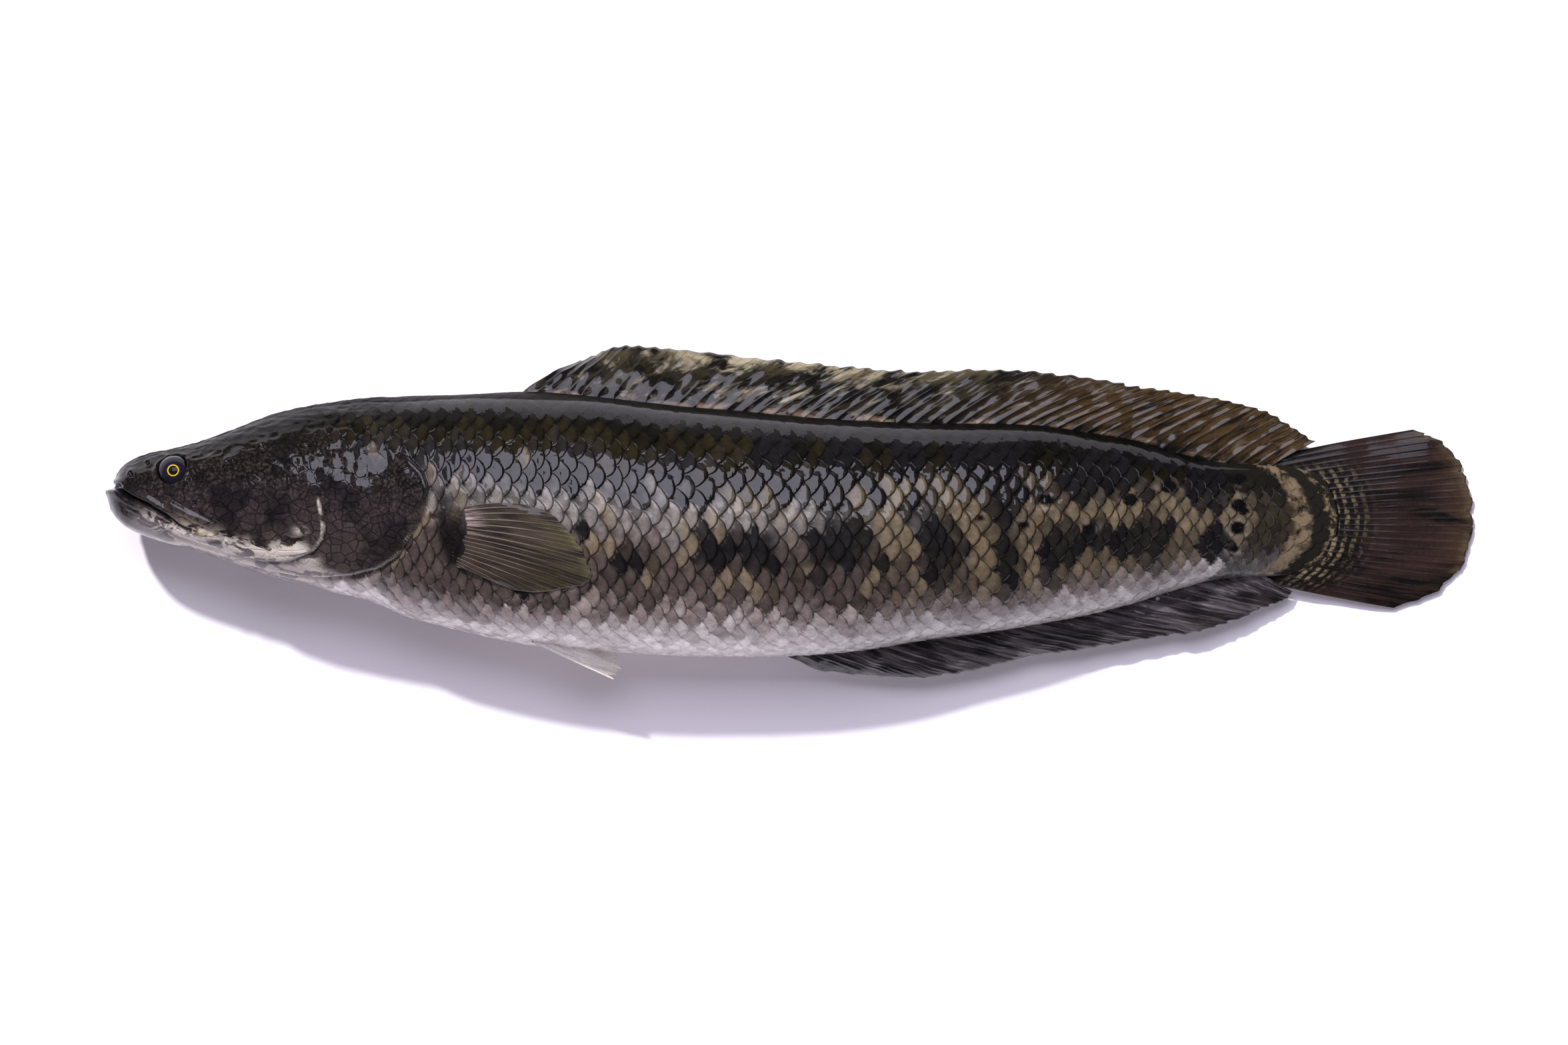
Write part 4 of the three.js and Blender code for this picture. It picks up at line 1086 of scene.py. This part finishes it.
pectoralFin = {
    "rootX": 127.6, "rootTop": 4.8, "rootSpan": 20.5, "sunk": 2.2, "rays": 17,
    # tips of the rays: share from the upper ray down, place along and above the axis
    "tips": [(0, 155, 6.2), (0.1, 163, 3.2), (0.2, 169, -2.6), (0.3, 173.6, -8.7), (0.4, 176.6, -15),
             (0.5, 177.6, -19), (0.6, 175.2, -22.2), (0.7, 168.9, -23.6), (0.8, 157, -25.2), (0.9, 146, -23.2),
             (1, 134.5, -17.6)],
    "seed": 14, "perRay": 12, "steps": 44, "thin": 0.24, "thick": 0.4, "ridge": 0.2, "scallop": 0.008,
    "uneven": 0.008, "forkAt": 0.45, "fringe": 0.016, "fine": 18,
}
pectoralWeb = {
    "rootToTip": [(0.0, paint(58, 48, 45)), (0.2, paint(56, 46, 42)), (0.7, paint(54, 46, 36)),
                  (0.92, paint(60, 57, 36)), (1.0, paint(92, 88, 62))],
    "blotch": paint(36, 30, 27), "streak": paint(88, 76, 66), "ray": paint(160, 148, 136),
    "rootPaleHighlight": paint(176, 158, 156),
    "streakAcross": 2.0, "streakAlong": 2.0, "blotchAcross": 0.5, "blotchAlong": 1.4, "blotchLow": 0.4,
    "blotchHigh": 0.62, "streakPower": 0.35, "rayPower": 0.45, "roughness": 0.36, "bump": 0.0002,
}
pectoralLook = finMaterial("pectoralWeb", pectoralWeb)
for side, name, standoff, ripple in ((1, "left", 2.4, 0.6), (-1, "right", 1.05, 0.1)):
    pectoral = finSheet(name + "PectoralFin", pectoralMiddle(pectoralFin, side, standoff),
                        {**pectoralFin, "side": side, "ripple": ripple})
    finishPiece(pectoral, name + "_pectoral_fin", pectoralLook)

pelvicFin = {
    "rootX": 158.0, "length": 33.5, "drop": 12.5, "droop": 0.27, "leftRise": 12, "rightRise": -6, "rays": 6,
    "seed": 15, "perRay": 14, "steps": 40, "thin": 0.3, "thick": 0.8, "ridge": 0.5, "scallop": 0.04,
    "uneven": 0.12, "tear": 0.14, "sharp": 3.0, "ripple": 0.5, "forkAt": 0.4, "fringe": 0.05,
}
# the pelvic fins' own pale cream, painted near white and brighter than their own colour, as painted light for the
# light they miss in the body's shadow
pelvicWeb = {
    "rootToTip": [(0.0, paint(240, 234, 230)), (0.5, paint(246, 240, 234)), (1.0, paint(232, 222, 212))],
    "blotch": paint(206, 196, 188), "streak": paint(240, 236, 232), "ray": paint(244, 240, 236),
    "streakAcross": 2.0, "streakAlong": 1.5, "blotchAcross": 0.8, "blotchAlong": 1.5, "blotchLow": 0.45,
    "blotchHigh": 0.7, "streakPower": 0.4, "rayPower": 0.5, "roughness": 0.36,
}
pelvicLook = finMaterial("pelvicWeb", pelvicWeb)
for side, name in ((1, "left"), (-1, "right")):
    pelvic = finSheet(name + "PelvicFin", pelvicMiddle(pelvicFin, side), pelvicFin)
    finishPiece(pelvic, name + "_pelvic_fin", pelvicLook)


lamps = {
    "keyLamp": {"energy": 3.4, "angle": 3.2, "colour": (1.0, 0.985, 0.97), "place": (-0.45, 0.77, 1.0)},
    "softBox": {"energy": 11.5, "size": (1.0, 0.78), "colour": (0.93, 0.92, 1.1), "place": (-0.05, 0.65, 1.2)},
    "fillCard": {"energy": 13, "size": (2.2, 1.4), "colour": (0.97, 0.93, 1.05), "place": (0.15, -1.4, 1.6)},
}
studioLook = {"floor": (0.95, 0.905, 0.96, 1), "floorHalf": 4, "world": (0.9, 0.88, 1.0, 1), "worldStrength": 0.05,
              "cameraDistance": 3.5, "planeWidth": 0.5717, "cameraFromJaw": 246.96, "flankHeight": 0.035,
              "sensor": 36}


def hangLamp(name, kind, target, mirrored):
    # a lamp that looks from its place to the target; mirrored says whether it shows in wet surfaces
    settings = lamps[name]
    data = bpy.data.lights.new(name, kind)
    data.energy = settings["energy"]
    data.color = settings["colour"]
    if kind == "AREA":
        data.shape = "RECTANGLE"
        data.size, data.size_y = settings["size"]
    else:
        data.angle = math.radians(settings["angle"])
    lamp = bpy.data.objects.new(name, data)
    bpy.context.scene.collection.objects.link(lamp)
    lamp.visible_glossy = mirrored
    lamp.location = settings["place"]
    look = Vector(target) - Vector(settings["place"])
    lamp.rotation_euler = look.to_track_quat("-Z", "Y").to_euler()


def studio():
    # white floor, one small hard lamp, one broad soft box, a fill card, dim surroundings, a camera straight above
    scene = bpy.context.scene
    half = studioLook["floorHalf"]
    floorMesh = bpy.data.meshes.new("studioFloor")
    corners = [(-half, -half, 0), (half, -half, 0), (half, half, 0), (-half, half, 0)]
    floorMesh.from_pydata(corners, [], [(0, 1, 2, 3)])
    floor = bpy.data.objects.new("studioFloor", floorMesh)
    scene.collection.objects.link(floor)
    white = bpy.data.materials.new("floorWhite")
    white.use_nodes = True
    shader = white.node_tree.nodes["Principled BSDF"]
    shader.inputs["Base Color"].default_value = studioLook["floor"]
    shader.inputs["Roughness"].default_value = 0.9
    shader.inputs["Specular IOR Level"].default_value = 0.0
    floor.data.materials.append(white)

    hangLamp("keyLamp", "SUN", (0, 0, 0), False)
    hangLamp("softBox", "AREA", (0, 0, 0.03), True)
    hangLamp("fillCard", "AREA", (0, 0, 0.03), False)

    world = bpy.data.worlds.new("studioWorld")
    world.use_nodes = True
    background = world.node_tree.nodes["Background"]
    background.inputs[0].default_value = studioLook["world"]
    background.inputs[1].default_value = studioLook["worldStrength"]
    scene.world = world

    cameraData = bpy.data.cameras.new("overhead")
    camera = bpy.data.objects.new("overhead", cameraData)
    scene.collection.objects.link(camera)
    cameraData.sensor_width = studioLook["sensor"]
    cameraData.lens = studioLook["sensor"] * studioLook["cameraDistance"] / studioLook["planeWidth"]
    camera.location = ((studioLook["cameraFromJaw"] + shift[0]) * mm, shift[1] * mm,
                       studioLook["flankHeight"] + studioLook["cameraDistance"])
    camera.rotation_euler = (0, 0, 0)
    scene.camera = camera
    scene.view_settings.view_transform = "Standard"
    scene.view_settings.look = "None"
    print("studio ready")


studio()
